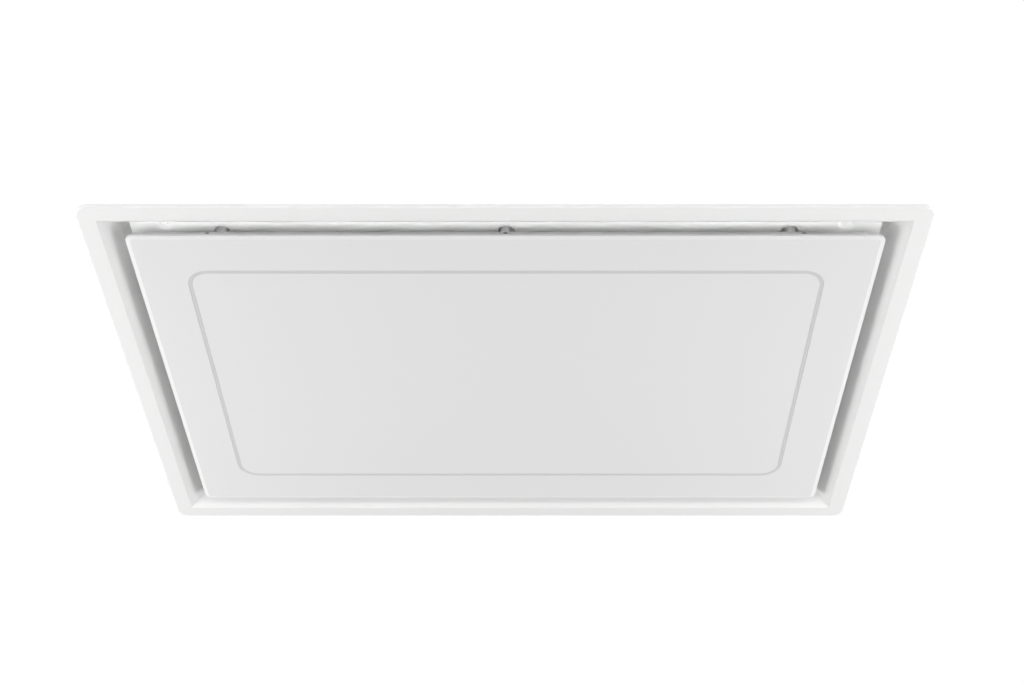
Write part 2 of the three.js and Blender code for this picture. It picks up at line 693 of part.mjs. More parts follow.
// The lens fills the slot and stands on a wider foot behind the panel.
const lensFootTop = BACK_Z + LENS_FOOT_THICKNESS;
add("light_lens", lightRing([
  [-LIGHT_WIDTH / 2, FLANGE_Z],
  [LIGHT_WIDTH / 2, FLANGE_Z],
  [LIGHT_WIDTH / 2, BACK_Z],
  [LENS_FOOT_WIDTH / 2, BACK_Z],
  [LENS_FOOT_WIDTH / 2, lensFootTop],
  [-LENS_FOOT_WIDTH / 2, lensFootTop],
  [-LENS_FOOT_WIDTH / 2, BACK_Z],
  [-LIGHT_WIDTH / 2, BACK_Z],
]), OPAL);

const channelTop = BACK_Z + CHANNEL_HEIGHT;
const channelRoof = channelTop - CHANNEL_SHEET;
const channelHalf = CHANNEL_WIDTH / 2;
add("light_channel", lightRing([
  [-channelHalf, BACK_Z],
  [-channelHalf + CHANNEL_SHEET, BACK_Z],
  [-channelHalf + CHANNEL_SHEET, channelRoof],
  [channelHalf - CHANNEL_SHEET, channelRoof],
  [channelHalf - CHANNEL_SHEET, BACK_Z],
  [channelHalf, BACK_Z],
  [channelHalf, channelTop],
  [-channelHalf, channelTop],
]), ALUMINIUM);

const stripTop = channelRoof - SEAT;
add("led_strip", lightRing([
  [-LED_STRIP_WIDTH / 2, stripTop - LED_STRIP_THICKNESS],
  [LED_STRIP_WIDTH / 2, stripTop - LED_STRIP_THICKNESS],
  [LED_STRIP_WIDTH / 2, stripTop],
  [-LED_STRIP_WIDTH / 2, stripTop],
]), WHITE_PLASTIC);

// ---------------------------------------------------------------- tray on the panel's back

const RIVET_Z = TRAY_TOP - RIVET_DROP;
const rivetX = (side) => side * (POST_X + RIVET_OFFSET);
const earFace = HINGE_ARM_THICKNESS / 2 + HINGE_SIDE_GAP;

// An ear is a plate square to the hinge axis, round about the pin and flat below it.
function hingeEar(x0, x1, radius, base) {
  const disc = alongX(rod(radius, x0, x1)).translate(0, HINGE_Y, HINGE_Z);
  const rise = [base, HINGE_Z].sort((low, high) => low - high);
  const leg = block([x0, x1], [HINGE_Y - radius, HINGE_Y + radius], rise);
  return join(disc, leg);
}

function pinBore(x0, x1) {
  return alongX(rod(HINGE_PIN_R + RUNNING_GAP, x0, x1)).translate(0, HINGE_Y, HINGE_Z);
}

function rivetHole(side) {
  const hole = rod(RIVET_SHANK_R + HOLE_GAP, -PAST, RAIL_SHEET + TRAY_SHEET + PAST).rotateX(-QUARTER_TURN);
  return hole.translate(rivetX(side), -TRAY_Y, RIVET_Z);
}

function stubHole(side) {
  const hole = rod(POST_STUB_R + HOLE_GAP, TRAY_TOP - TRAY_SHEET - RAIL_SHEET - PAST, TRAY_TOP + PAST);
  return hole.translate(side * POST_X, POST_Y, 0);
}

// An inverted pan with rounded edges and turned-in feet. Two pockets at the rear let the hinge arms in.
function makeTray() {
  const outer = roundedBlock(TRAY_X, TRAY_Y, TRAY_CORNER_R, [
    [0, BACK_Z],
    [0, TRAY_TOP - TRAY_EDGE_R],
    [-TRAY_EDGE_R * 0.3, TRAY_TOP - TRAY_EDGE_R * 0.3],
    [-TRAY_EDGE_R, TRAY_TOP],
  ]);
  const innerX = TRAY_X - TRAY_SHEET;
  const innerY = TRAY_Y - TRAY_SHEET;
  const hollow = slab(0, 0, innerX, innerY, BACK_Z + TRAY_SHEET, TRAY_TOP - TRAY_SHEET);
  const mouthX = TRAY_X - TRAY_RETURN;
  const mouthY = TRAY_Y - TRAY_RETURN;
  const mouth = slab(0, 0, mouthX, mouthY, BACK_Z - PAST, BACK_Z + TRAY_SHEET + PAST);
  let tray = cut(outer, hollow, mouth);
  const pocketFloor = BACK_Z + POCKET_FLOOR;
  for (const [, side] of LEFT_RIGHT) {
    const x = side * HINGE_X;
    const front = TRAY_Y - POCKET_DEPTH;
    const solid = block(
      [x - POCKET_HALF_WIDTH - TRAY_SHEET, x + POCKET_HALF_WIDTH + TRAY_SHEET],
      [front - TRAY_SHEET, TRAY_Y],
      [BACK_Z, TRAY_TOP - TRAY_SHEET / 2],
    );
    const space = block(
      [x - POCKET_HALF_WIDTH, x + POCKET_HALF_WIDTH],
      [front, TRAY_Y + PAST],
      [pocketFloor, TRAY_TOP + PAST],
    );
    const ears = [-earFace - EAR_THICKNESS, earFace].map((face) =>
      hingeEar(face, face + EAR_THICKNESS, EAR_R, BACK_Z).translate(x, 0, 0),
    );
    const reach = earFace + EAR_THICKNESS + PAST;
    tray = cut(join(tray, solid), space);
    tray = cut(join(tray, ...ears), pinBore(-reach, reach).translate(x, 0, 0));
  }
  const holes = CATCH_PLACES.flatMap(([, side]) => [rivetHole(side), stubHole(side)]);
  return cut(tray, ...holes);
}

add("panel_tray", makeTray(), TRAY_GREY);

// An angle behind the tray's front wall carries the posts; hollow rivets hold it.
function makeRail() {
  const top = TRAY_TOP - TRAY_SHEET - SEAT;
  const front = -(TRAY_Y - TRAY_SHEET - SEAT);
  const halfLength = POST_X + RAIL_OVERHANG;
  const leg = block([-halfLength, halfLength], [front, front + RAIL_LEG], [top - RAIL_SHEET, top]);
  const upright = block([-halfLength, halfLength], [front, front + RAIL_SHEET], [top - RAIL_DROP, top]);
  const holes = CATCH_PLACES.flatMap(([, side]) => [rivetHole(side), stubHole(side)]);
  return cut(join(leg, upright), ...holes);
}

add("post_rail", makeRail(), GALVANISED);

for (const [place, side] of CATCH_PLACES) {
  const grip = TRAY_SHEET + SEAT + RAIL_SHEET;
  const rivet = turned([
    [0, RIVET_HEAD_THICKNESS],
    [RIVET_BORE_R, RIVET_HEAD_THICKNESS],
    [RIVET_BORE_R, -RIVET_HEAD_THICKNESS],
    [RIVET_HEAD_R * 0.7, -RIVET_HEAD_THICKNESS],
    [RIVET_HEAD_R, 0],
    [RIVET_SHANK_R, 0],
    [RIVET_SHANK_R, SEAT + grip + RIVET_TAIL],
    [0, SEAT + grip + RIVET_TAIL],
  ]).rotateX(-QUARTER_TURN);
  add(`tray_rivet_${place}`, rivet.translate(rivetX(side), -(TRAY_Y + SEAT), RIVET_Z), ALUMINIUM);
}

// ---------------------------------------------------------------- catches

const postFoot = TRAY_TOP + SEAT;
for (const [place, side] of CATCH_PLACES) {
  const post = turned([
    [0, postFoot - POST_STUB_LENGTH],
    [POST_STUB_R, postFoot - POST_STUB_LENGTH],
    [POST_STUB_R, postFoot],
    [POST_BASE_R, postFoot],
    [POST_BASE_R, postFoot + POST_BASE_THICKNESS],
    [POST_R, postFoot + POST_BASE_THICKNESS],
    [POST_R, POST_TOP - POST_CHAMFER],
    [POST_R - POST_CHAMFER, POST_TOP],
    [0, POST_TOP],
  ]);
  add(`panel_post_${place}`, post.translate(side * POST_X, POST_Y, 0), POLISHED_STEEL);

  const rimZ = DECK_Z - SEAT;
  const cup = turned([
    [0, CUP_CEILING],
    [CUP_BORE_R, CUP_CEILING],
    [CUP_BORE_R, rimZ - CUP_RIM_THICKNESS],
    [CUP_RIM_R, rimZ - CUP_RIM_THICKNESS],
    [CUP_RIM_R, rimZ],
    [CUP_R, rimZ],
    [CUP_R, CUP_CEILING + CUP_WALL],
    [0, CUP_CEILING + CUP_WALL],
  ]);
  add(`catch_cup_${place}`, cup.translate(side * POST_X, POST_Y, 0), WHITE_PLASTIC);

  const magnet = rod(MAGNET_R, POST_TOP + SEAT, POST_TOP + SEAT + MAGNET_THICKNESS);
  add(`catch_magnet_${place}`, magnet.translate(side * POST_X, POST_Y, 0), MAGNET);
}

// ---------------------------------------------------------------- hinges

for (const [place, side] of LEFT_RIGHT) {
  const x = side * HINGE_X;
  const half = HINGE_ARM_THICKNESS / 2;
  const footTop = DECK_Z - SEAT;
  const footZ = footTop - HINGE_FOOT_SHEET;
  const arm = hingeEar(-half, half, HINGE_EYE_R, footZ + HINGE_FOOT_SHEET / 2);
  const foot = slab(0, HINGE_Y, HINGE_FOOT_LENGTH / 2, HINGE_FOOT_WIDTH / 2, footZ, footTop);
  const bracket = cut(join(arm, foot), pinBore(-half - PAST, half + PAST));
  add(`hinge_arm_${place}`, bracket.translate(x, 0, 0), GALVANISED);

  const shoulder = earFace + EAR_THICKNESS + SEAT;
  const end = shoulder + PIN_HEAD_THICKNESS;
  const pin = alongX(turned([
    [0, -end],
    [PIN_HEAD_R, -end],
    [PIN_HEAD_R, -shoulder],
    [HINGE_PIN_R, -shoulder],
    [HINGE_PIN_R, shoulder],
    [PIN_HEAD_R, shoulder],
    [PIN_HEAD_R, end],
    [0, end],
  ]));
  add(`hinge_pin_${place}`, pin.translate(x, HINGE_Y, HINGE_Z), POLISHED_STEEL);
}

// ---------------------------------------------------------------- grease filters

const meshZ = DECK_Z + (FILTER_HEIGHT - FILTER_MESH_THICKNESS) / 2;
const latchZ = DECK_TOP + SEAT;
const meshFrontY = -FILTER_HALF_Y + FILTER_FRONT_RAIL - FILTER_MESH_GRIP;
const meshRearY = FILTER_HALF_Y - FILTER_RAIL + FILTER_MESH_GRIP;
const meshHalfX = FILTER_HALF_X - FILTER_RAIL + FILTER_MESH_GRIP;

function makeFilterFrame() {
  const outer = slab(0, 0, FILTER_HALF_X, FILTER_HALF_Y, DECK_Z, DECK_Z + FILTER_HEIGHT);
  const window = block(
    [-FILTER_HALF_X + FILTER_RAIL, FILTER_HALF_X - FILTER_RAIL],
    [-FILTER_HALF_Y + FILTER_FRONT_RAIL, FILTER_HALF_Y - FILTER_RAIL],
    [DECK_Z - PAST, DECK_Z + FILTER_HEIGHT + PAST],
  );
  const groove = block(
    [-meshHalfX - SEAT, meshHalfX + SEAT],
    [meshFrontY - SEAT, meshRearY + SEAT],
    [meshZ - SEAT, meshZ + FILTER_MESH_THICKNESS + SEAT],
  );
  const tongue = block(
    [-TONGUE_WIDTH / 2, TONGUE_WIDTH / 2],
    [FILTER_HALF_Y - PAST, FILTER_HALF_Y + TONGUE_REACH],
    [DECK_TOP + SEAT, DECK_TOP + SEAT + TONGUE_THICKNESS],
  );
  const latchEnd = -FILTER_HALF_Y - LATCH_REACH + LATCH_LENGTH + LATCH_TRAVEL;
  const channel = block(
    [-LATCH_WIDTH / 2 - SEAT, LATCH_WIDTH / 2 + SEAT],
    [-FILTER_HALF_Y - PAST, latchEnd + SEAT],
    [latchZ - SEAT, latchZ + LATCH_THICKNESS + SEAT],
  );
  const tabFront = latchEnd - LATCH_TRAVEL - LATCH_TAB_LENGTH;
  const slot = block(
    [-LATCH_TAB_WIDTH / 2 - SEAT, LATCH_TAB_WIDTH / 2 + SEAT],
    [tabFront - SEAT, latchEnd + SEAT],
    [DECK_Z - PAST, latchZ],
  );
  return join(cut(outer, window, groove, channel, slot), tongue);
}

function makeLatch() {
  const front = -FILTER_HALF_Y - LATCH_REACH;
  const rear = front + LATCH_LENGTH;
  const latchTop = latchZ + LATCH_THICKNESS;
  const bolt = block([-LATCH_WIDTH / 2, LATCH_WIDTH / 2], [front, rear], [latchZ, latchTop]);
  const tab = block(
    [-LATCH_TAB_WIDTH / 2, LATCH_TAB_WIDTH / 2],
    [rear - LATCH_TAB_LENGTH, rear],
    [DECK_Z - LATCH_TAB_DROP, latchTop - LATCH_THICKNESS / 2],
  );
  return join(bolt, tab);
}

for (const [place, side] of LEFT_RIGHT) {
  const x = side * FILTER_X;
  add(`filter_frame_${place}`, makeFilterFrame().translate(x, 0, 0), ALUMINIUM);
  const meshTop = meshZ + FILTER_MESH_THICKNESS;
  const mesh = block([-meshHalfX, meshHalfX], [meshFrontY, meshRearY], [meshZ, meshTop]);
  add(`filter_mesh_${place}`, mesh.translate(x, 0, 0), ALUMINIUM);
  add(`filter_latch_${place}`, makeLatch().translate(x, 0, 0), GREY_PLASTIC);
}

// ---------------------------------------------------------------- blower scroll and inlet

// The spiral outline, drawn in by the wall's thickness for the hollow.
function spiralOutline(inset, steps = WIDE_ROUND) {
  return Array.from({ length: steps + 1 }, (_, step) => {
    const share = step / steps;
    const angle = share * FULL_TURN - QUARTER_TURN;
    const radius = SCROLL_CUTOFF_R + SCROLL_GROWTH * share - inset;
    return [BLOWER_X + radius * Math.cos(angle), BLOWER_Y + radius * Math.sin(angle)];
  });
}

function outletDuct(inset, end, z0, z1) {
  return block(
    [BLOWER_X, end],
    [BLOWER_Y - SCROLL_END_R + inset, BLOWER_Y - SCROLL_TONGUE_OFFSET - inset],
    [z0, z1],
  );
}

// The floor plate closes the scroll from below and has the inlet's bore.
const scrollFloorTop = SCROLL_BOTTOM + SCROLL_SHEET;
function makeScrollFloor() {
  const plate = join(
    prism(spiralOutline(0), SCROLL_BOTTOM, scrollFloorTop),
    outletDuct(0, OUTLET_X, SCROLL_BOTTOM, scrollFloorTop),
  );
  const boreR = INLET_BORE_R + INLET_SHEET + SEAT;
  const inlet = rod(boreR, SCROLL_BOTTOM - PAST, scrollFloorTop + PAST, WIDE_ROUND);
  return cut(plate, inlet.translate(BLOWER_X, BLOWER_Y, 0));
}

// The spiral wall, the outlet's walls and the roof, with the motor's hole.
function makeScroll() {
  const hem = scrollFloorTop + SEAT;
  const roof = SCROLL_TOP - SCROLL_SHEET;
  const body = join(
    prism(spiralOutline(0), hem, SCROLL_TOP),
    outletDuct(0, OUTLET_X, hem, SCROLL_TOP),
  );
  const hollow = join(
    prism(spiralOutline(SCROLL_SHEET), hem - PAST, roof),
    outletDuct(SCROLL_SHEET, OUTLET_X + PAST, hem - PAST, roof),
  );
  const motorHole = rod(MOTOR_HOLE_R, roof - PAST, SCROLL_TOP + PAST, WIDE_ROUND);
  return cut(body, hollow, motorHole.translate(BLOWER_X, BLOWER_Y, 0));
}

add("scroll_floor", makeScrollFloor(), GALVANISED);
add("blower_scroll", makeScroll(), GALVANISED);

// A bell mouth: it flares below the scroll's floor and reaches up to the wheel's eye.
function makeInletRing() {
  const seat = SCROLL_BOTTOM - SEAT;
  const throatTop = WHEEL_BOTTOM - SEAT * 3;
  const mouthZ = seat - INLET_DEPTH;
  const throatOuter = INLET_BORE_R + INLET_SHEET;
  return turned([
    [INLET_BORE_R, throatTop],
    [INLET_BORE_R, seat - INLET_SHEET],
    [(INLET_BORE_R * 2 + INLET_MOUTH_R) / 3, seat - INLET_DEPTH * 0.55],
    [INLET_MOUTH_R, mouthZ],
    [INLET_MOUTH_R + INLET_SHEET, mouthZ],
    [(throatOuter * 2 + INLET_MOUTH_R) / 3 + INLET_SHEET, seat - INLET_DEPTH * 0.45],
    [throatOuter + INLET_SHEET, seat - INLET_SHEET],
    [INLET_FLANGE_R, seat - INLET_SHEET],
    [INLET_FLANGE_R, seat],
    [throatOuter, seat],
    [throatOuter, throatTop],
    [INLET_BORE_R, throatTop],
  ], WIDE_ROUND);
}

add("inlet_ring", makeInletRing().translate(BLOWER_X, BLOWER_Y, 0), BLACK_PLASTIC);

// ---------------------------------------------------------------- blower wheel and motor

// One forward-curved blade in plan, a thin arc between the wheel's inner and outer radius.
function bladeOutline(steps = 3) {
  const inner = WHEEL_R - WHEEL_BLADE_DEPTH;
  const line = (offset) => Array.from({ length: steps + 1 }, (_, step) => {
    const share = step / steps;
    const radius = inner + WHEEL_BLADE_DEPTH * share;
    const angle = BLADE_LEAN * share * share + offset / radius;
    return [radius * Math.cos(angle), radius * Math.sin(angle)];
  });
  return [...line(-WHEEL_BLADE_THICKNESS / 2), ...line(WHEEL_BLADE_THICKNESS / 2).reverse()];
}

function makeWheel() {
  const eyeR = WHEEL_R - WHEEL_BLADE_DEPTH;
  const rim = turned([
    [eyeR, WHEEL_BOTTOM],
    [WHEEL_R, WHEEL_BOTTOM],
    [WHEEL_R, WHEEL_BOTTOM + WHEEL_RING_THICKNESS],
    [eyeR, WHEEL_BOTTOM + WHEEL_RING_THICKNESS],
    [eyeR, WHEEL_BOTTOM],
  ], WIDE_ROUND);
  const boreR = SHAFT_R + RUNNING_GAP;
  const hub = turned([
    [boreR, DISH_Z - HUB_BOSS_HEIGHT],
    [HUB_BOSS_R, DISH_Z - HUB_BOSS_HEIGHT],
    [HUB_BOSS_R, DISH_Z],
    [HUB_DISH_R - HUB_SHEET, DISH_Z],
    [HUB_DISH_R + HUB_SHEET, WHEEL_TOP - HUB_SHEET],
    [WHEEL_R, WHEEL_TOP - HUB_SHEET],
    [WHEEL_R, WHEEL_TOP],
    [HUB_DISH_R, WHEEL_TOP],
    [HUB_DISH_R - HUB_SHEET * 2, DISH_Z + HUB_SHEET],
    [boreR, DISH_Z + HUB_SHEET],
    [boreR, DISH_Z - HUB_BOSS_HEIGHT],
  ], WIDE_ROUND);
  const blade = prism(bladeOutline(), WHEEL_BOTTOM + WHEEL_RING_THICKNESS / 2, WHEEL_TOP - HUB_SHEET / 2);
  const blades = Array.from({ length: WHEEL_BLADES }, (_, i) =>
    blade.clone().rotateZ((i / WHEEL_BLADES) * FULL_TURN),
  );
  return join(rim, hub, ...blades);
}

add("blower_wheel", makeWheel().translate(BLOWER_X, BLOWER_Y, 0), BLACK_PLASTIC);

// The motor's can hangs through the scroll's roof into the hub's dish.
const motorFloor = DISH_Z + HUB_SHEET + MOTOR_FLOOR_GAP;
const motorSeat = SCROLL_TOP + SEAT;
const shaftTop = motorSeat + MOTOR_FLANGE_THICKNESS;
const motorBoreR = SHAFT_R + RUNNING_GAP;
add("motor_can", turned([
  [motorBoreR, motorFloor],
  [MOTOR_R - HUB_SHEET, motorFloor],
  [MOTOR_R, motorFloor + HUB_SHEET],
  [MOTOR_R, motorSeat],
  [MOTOR_FLANGE_R, motorSeat],
  [MOTOR_FLANGE_R, shaftTop],
  [motorBoreR, shaftTop],
  [motorBoreR, motorFloor],
], WIDE_ROUND).translate(BLOWER_X, BLOWER_Y, 0), MOTOR_ENAMEL);

add("motor_shaft", rod(SHAFT_R, DISH_Z - HUB_BOSS_HEIGHT - PAST, shaftTop + PAST)
  .translate(BLOWER_X, BLOWER_Y, 0), POLISHED_STEEL);

// Three waisted rubber mounts hang the blower from the cover.
const mountZ = SCROLL_TOP + SEAT;
for (const [index, place] of ["front", "rear", "left"].entries()) {
  const angle = (index * FULL_TURN) / 3 - FULL_TURN / 8;
  const mount = turned([
    [0, mountZ],
    [MOUNT_R, mountZ],
    [MOUNT_WAIST_R, mountZ + MOUNT_HEIGHT * 0.35],
    [MOUNT_WAIST_R, mountZ + MOUNT_HEIGHT * 0.65],
    [MOUNT_R, mountZ + MOUNT_HEIGHT],
    [0, mountZ + MOUNT_HEIGHT],
  ]);
  const x = BLOWER_X + MOUNT_CIRCLE_R * Math.cos(angle);
  const y = BLOWER_Y + MOUNT_CIRCLE_R * Math.sin(angle);
  add(`rubber_mount_${place}`, mount.translate(x, y, 0), RUBBER);
}

// ---------------------------------------------------------------- air outlet

// Points round a rectangle or a circle in the YZ plane about the outlet, at matching places.
function outletLoop(x, z, halfY, halfZ, isRound) {
  return Array.from({ length: WIDE_ROUND }, (_, i) => {
    const angle = (i / WIDE_ROUND) * FULL_TURN;
    const reach = isRound ? 1 : Math.SQRT2;
    const across = THREE.MathUtils.clamp(reach * Math.cos(angle), -1, 1);
    const up = THREE.MathUtils.clamp(reach * Math.sin(angle), -1, 1);
    return [x, OUTLET_Y + halfY * across, z + halfZ * up];
  });
}

// A duct piece that turns the scroll's square mouth into a round sleeve over the spigot.
function makeAdaptor() {
  const start = OUTLET_X + SEAT;
  const sleeveR = SPIGOT_R + SEAT + SPIGOT_WALL;
  const loopsAt = (inset) => {
    const halfY = OUTLET_HALF_Y - inset;
    const halfZ = SCROLL_HEIGHT / 2 - inset;
    const squareAt = (x) => outletLoop(x, OUTLET_Z, halfY, halfZ, false);
    const roundAt = (x) => outletLoop(x, SPIGOT_Z, sleeveR - inset, sleeveR - inset, true);
    return [
      squareAt(start),
      squareAt(start + ADAPTOR_STRAIGHT),
      roundAt(SPIGOT_X0 - SEAT),
      roundAt(SPIGOT_X0 + SLEEVE_LENGTH),
    ];
  };
  return skin([...loopsAt(0), ...loopsAt(SPIGOT_WALL).reverse()], true);
}

add("duct_adaptor", makeAdaptor(), GREY_PLASTIC);

const spigotBoreR = SPIGOT_R - SPIGOT_WALL;
function makeSpigot() {
  const stopR = spigotBoreR - DAMPER_STOP_WIDTH;
  const stopX = DAMPER_X - DAMPER_SHEET / 2 - SEAT;
  const flangeX = BODY_X + SEAT;
  const tube = alongX(turned([
    [spigotBoreR, SPIGOT_X0],
    [SPIGOT_R, SPIGOT_X0],
    [SPIGOT_R, flangeX],
    [SPIGOT_FLANGE_R, flangeX],
    [SPIGOT_FLANGE_R, flangeX + SPIGOT_FLANGE_THICKNESS],
    [SPIGOT_R, flangeX + SPIGOT_FLANGE_THICKNESS],
    [SPIGOT_R, SPIGOT_X1],
    [spigotBoreR, SPIGOT_X1],
    [spigotBoreR, stopX],
    [stopR, stopX],
    [stopR, stopX - DAMPER_STOP_THICKNESS],
    [spigotBoreR, stopX - DAMPER_STOP_THICKNESS],
    [spigotBoreR, SPIGOT_X0],
  ], WIDE_ROUND)).translate(0, OUTLET_Y, SPIGOT_Z);
  const reach = SPIGOT_R + PAST;
  const pinHole = rod(DAMPER_PIN_R + RUNNING_GAP, -reach, reach).translate(DAMPER_X, OUTLET_Y, SPIGOT_Z);
  return cut(tube, pinHole);
}

add("outlet_spigot", makeSpigot(), BLACK_PLASTIC);

const damperPin = rod(DAMPER_PIN_R, -SPIGOT_R, SPIGOT_R);
add("damper_pin", damperPin.translate(DAMPER_X, OUTLET_Y, SPIGOT_Z), POLISHED_STEEL);

// Half a disc on barrels about the upright pin. The two flaps' barrels interleave.
function makeFlap(side, ownBarrels, otherBarrels) {
  const discR = spigotBoreR - DAMPER_EDGE_GAP;
  const disc = alongX(rod(discR, -DAMPER_SHEET / 2, DAMPER_SHEET / 2, WIDE_ROUND));
  const keepOff = DAMPER_BARREL_R + DAMPER_BARREL_CLEARANCE;
  const half = block([-PAST, PAST], side > 0 ? [0, discR] : [-discR, 0], [-discR, discR]);
  const halfDisc = common(disc, half);
  const notch = ([z0, z1]) =>
    block([-PAST, PAST], [-keepOff, keepOff], [z0 - BARREL_END_GAP, z1 + BARREL_END_GAP]);
  const outerNotches = [[BARREL_OUTER_END, discR], [-discR, -BARREL_OUTER_END]].map(notch);
  const barrels = ownBarrels.map(([z0, z1]) => rod(DAMPER_BARREL_R, z0, z1));
  const bore = rod(DAMPER_PIN_R + RUNNING_GAP, -discR - PAST, discR + PAST);
  const plate = cut(halfDisc, ...otherBarrels.map(notch), ...outerNotches);
  return cut(join(plate, ...barrels), bore).translate(DAMPER_X, OUTLET_Y, SPIGOT_Z);
}

const middleBarrel = [[-BARREL_INNER_END, BARREL_INNER_END]];
const endStart = BARREL_INNER_END + BARREL_END_GAP * 2;
const endBarrels = [[endStart, BARREL_OUTER_END], [-BARREL_OUTER_END, -endStart]];
add("damper_flap_rear", makeFlap(1, endBarrels, middleBarrel), ALUMINIUM);
add("damper_flap_front", makeFlap(-1, middleBarrel, endBarrels), ALUMINIUM);

// ---------------------------------------------------------------- control box

const boxZ = COVER_TOP + SEAT;
const boxTop = boxZ + CONTROL_HEIGHT;
const boxHalfX = CONTROL_LENGTH / 2;
const boxHalfY = CONTROL_WIDTH / 2;
const boardZ = boxZ + CONTROL_WALL + BOARD_STANDOFF + SEAT;
const glandZ = boxZ + GLAND_HEX_R + SEAT;

function makeControlBox() {
  const outer = slab(CONTROL_X, CONTROL_Y, boxHalfX, boxHalfY, boxZ, boxTop);
  const innerX = boxHalfX - CONTROL_WALL;
  const innerY = boxHalfY - CONTROL_WALL;
  const inner = slab(CONTROL_X, CONTROL_Y, innerX, innerY, boxZ + CONTROL_WALL, boxTop + PAST);
  const standoff = rod(STANDOFF_R, boxZ + CONTROL_WALL / 2, boardZ - SEAT);
  const standoffX = innerX - BOARD_GAP - STANDOFF_INSET;
  const standoffY = innerY - BOARD_GAP - STANDOFF_INSET;
  const standoffs = [[1, 1], [-1, 1], [-1, -1], [1, -1]].map(([signX, signY]) =>
    standoff.clone().translate(CONTROL_X + signX * standoffX, CONTROL_Y + signY * standoffY, 0),
  );
  const glandHole = alongX(rod(GLAND_THREAD_R + HOLE_GAP, -CONTROL_WALL - PAST, PAST));
  glandHole.translate(CONTROL_X - boxHalfX + CONTROL_WALL, CONTROL_Y, glandZ);
  return cut(join(cut(outer, inner), ...standoffs), glandHole);
}

add("control_box", makeControlBox(), GALVANISED);

function makeControlLid() {
  const lidZ = boxTop + SEAT;
  const wall = CONTROL_WALL / 2;
  const out = SEAT + wall;
  const hem = boxTop - CONTROL_LID_SKIRT;
  const outer = slab(CONTROL_X, CONTROL_Y, boxHalfX + out, boxHalfY + out, hem, lidZ + wall);
  const inner = slab(CONTROL_X, CONTROL_Y, boxHalfX + SEAT, boxHalfY + SEAT, hem - PAST, lidZ);
  return cut(outer, inner);
}

add("control_lid", makeControlLid(), GALVANISED);

// The board with what is soldered to it: a motor capacitor, a lamp driver, a relay and a terminal row.
function makeBoard() {
  const halfX = boxHalfX - CONTROL_WALL - BOARD_GAP;
  const halfY = boxHalfY - CONTROL_WALL - BOARD_GAP;
  const top = boardZ + BOARD_THICKNESS;
  const sunk = top - BOARD_THICKNESS / 2;
  const sheet = slab(0, 0, halfX, halfY, boardZ, top);
  const soldered = [LAMP_DRIVER, RELAY, TERMINAL_ROW].map(({ x, y, length, width, height }) =>
    slab(x, y, length / 2, width / 2, sunk, top + height),
  );
  const capacitor = alongX(rod(CAPACITOR.radius, -CAPACITOR.length / 2, CAPACITOR.length / 2));
  capacitor.translate(CAPACITOR.x, CAPACITOR.y, sunk + CAPACITOR.radius);
  return join(sheet, ...soldered, capacitor).translate(CONTROL_X, CONTROL_Y, 0);
}

add("control_board", makeBoard(), BOARD_GREEN);

// The mains gland: a thread through the box's wall, a six-sided collar and a domed clamping cap.
function makeGland() {
  const inner = CONTROL_WALL + GLAND_TAIL;
  const cone = turned([
    [GLAND_BORE_R, -inner],
    [GLAND_THREAD_R, -inner],
    [GLAND_THREAD_R, GLAND_HEX_LENGTH],
    [GLAND_CAP_R, GLAND_HEX_LENGTH],
    [GLAND_CAP_R, GLAND_LENGTH * 0.7],
    [GLAND_BORE_R * 1.6, GLAND_LENGTH],
    [GLAND_BORE_R, GLAND_LENGTH],
    [GLAND_BORE_R, -inner],
  ]);
  const hexagon = rod(GLAND_HEX_R, SEAT, GLAND_HEX_LENGTH + SEAT, 6);
  const collar = cut(hexagon, rod(GLAND_BORE_R + PAST, -PAST, GLAND_LENGTH));
  return join(cone, collar).rotateY(-QUARTER_TURN);
}

add("mains_gland", makeGland().translate(CONTROL_X - boxHalfX, CONTROL_Y, glandZ), BLACK_PLASTIC);

export default hood;
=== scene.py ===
# %% [markdown]
# # A recessed ceiling range hood
# The hood hangs in a ceiling. Its white frame, glass panel and three steel posts show in the room, and its
# sheet-metal housing with the blower is above. The engineering model is loaded first and stays as it is. Each
# lesson then dresses one piece: it gets a finish, or a finer mesh that stands for it.

# %% Load the frame
import bmesh
import bpy
import json
import math
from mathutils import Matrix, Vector

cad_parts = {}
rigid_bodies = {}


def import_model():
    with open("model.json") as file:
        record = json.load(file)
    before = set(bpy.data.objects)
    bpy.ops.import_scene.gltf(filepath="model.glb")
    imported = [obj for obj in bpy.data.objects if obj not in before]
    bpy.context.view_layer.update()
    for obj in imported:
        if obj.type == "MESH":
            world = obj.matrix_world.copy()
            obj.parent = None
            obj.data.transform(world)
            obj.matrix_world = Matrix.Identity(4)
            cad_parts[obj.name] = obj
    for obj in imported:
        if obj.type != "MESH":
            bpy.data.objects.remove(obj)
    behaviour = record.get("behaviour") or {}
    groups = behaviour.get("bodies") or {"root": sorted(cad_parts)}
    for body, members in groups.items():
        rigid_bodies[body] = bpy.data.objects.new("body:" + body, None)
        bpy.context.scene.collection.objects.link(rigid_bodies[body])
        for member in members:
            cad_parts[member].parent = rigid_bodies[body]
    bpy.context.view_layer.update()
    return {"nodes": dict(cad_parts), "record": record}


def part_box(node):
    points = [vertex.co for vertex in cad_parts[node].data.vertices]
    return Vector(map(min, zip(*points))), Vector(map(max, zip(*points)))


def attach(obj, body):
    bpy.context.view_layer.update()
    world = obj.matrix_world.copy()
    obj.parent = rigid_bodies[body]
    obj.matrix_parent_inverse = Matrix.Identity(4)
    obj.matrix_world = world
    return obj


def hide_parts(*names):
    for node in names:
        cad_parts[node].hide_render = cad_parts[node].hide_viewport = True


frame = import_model()
MM = 0.001

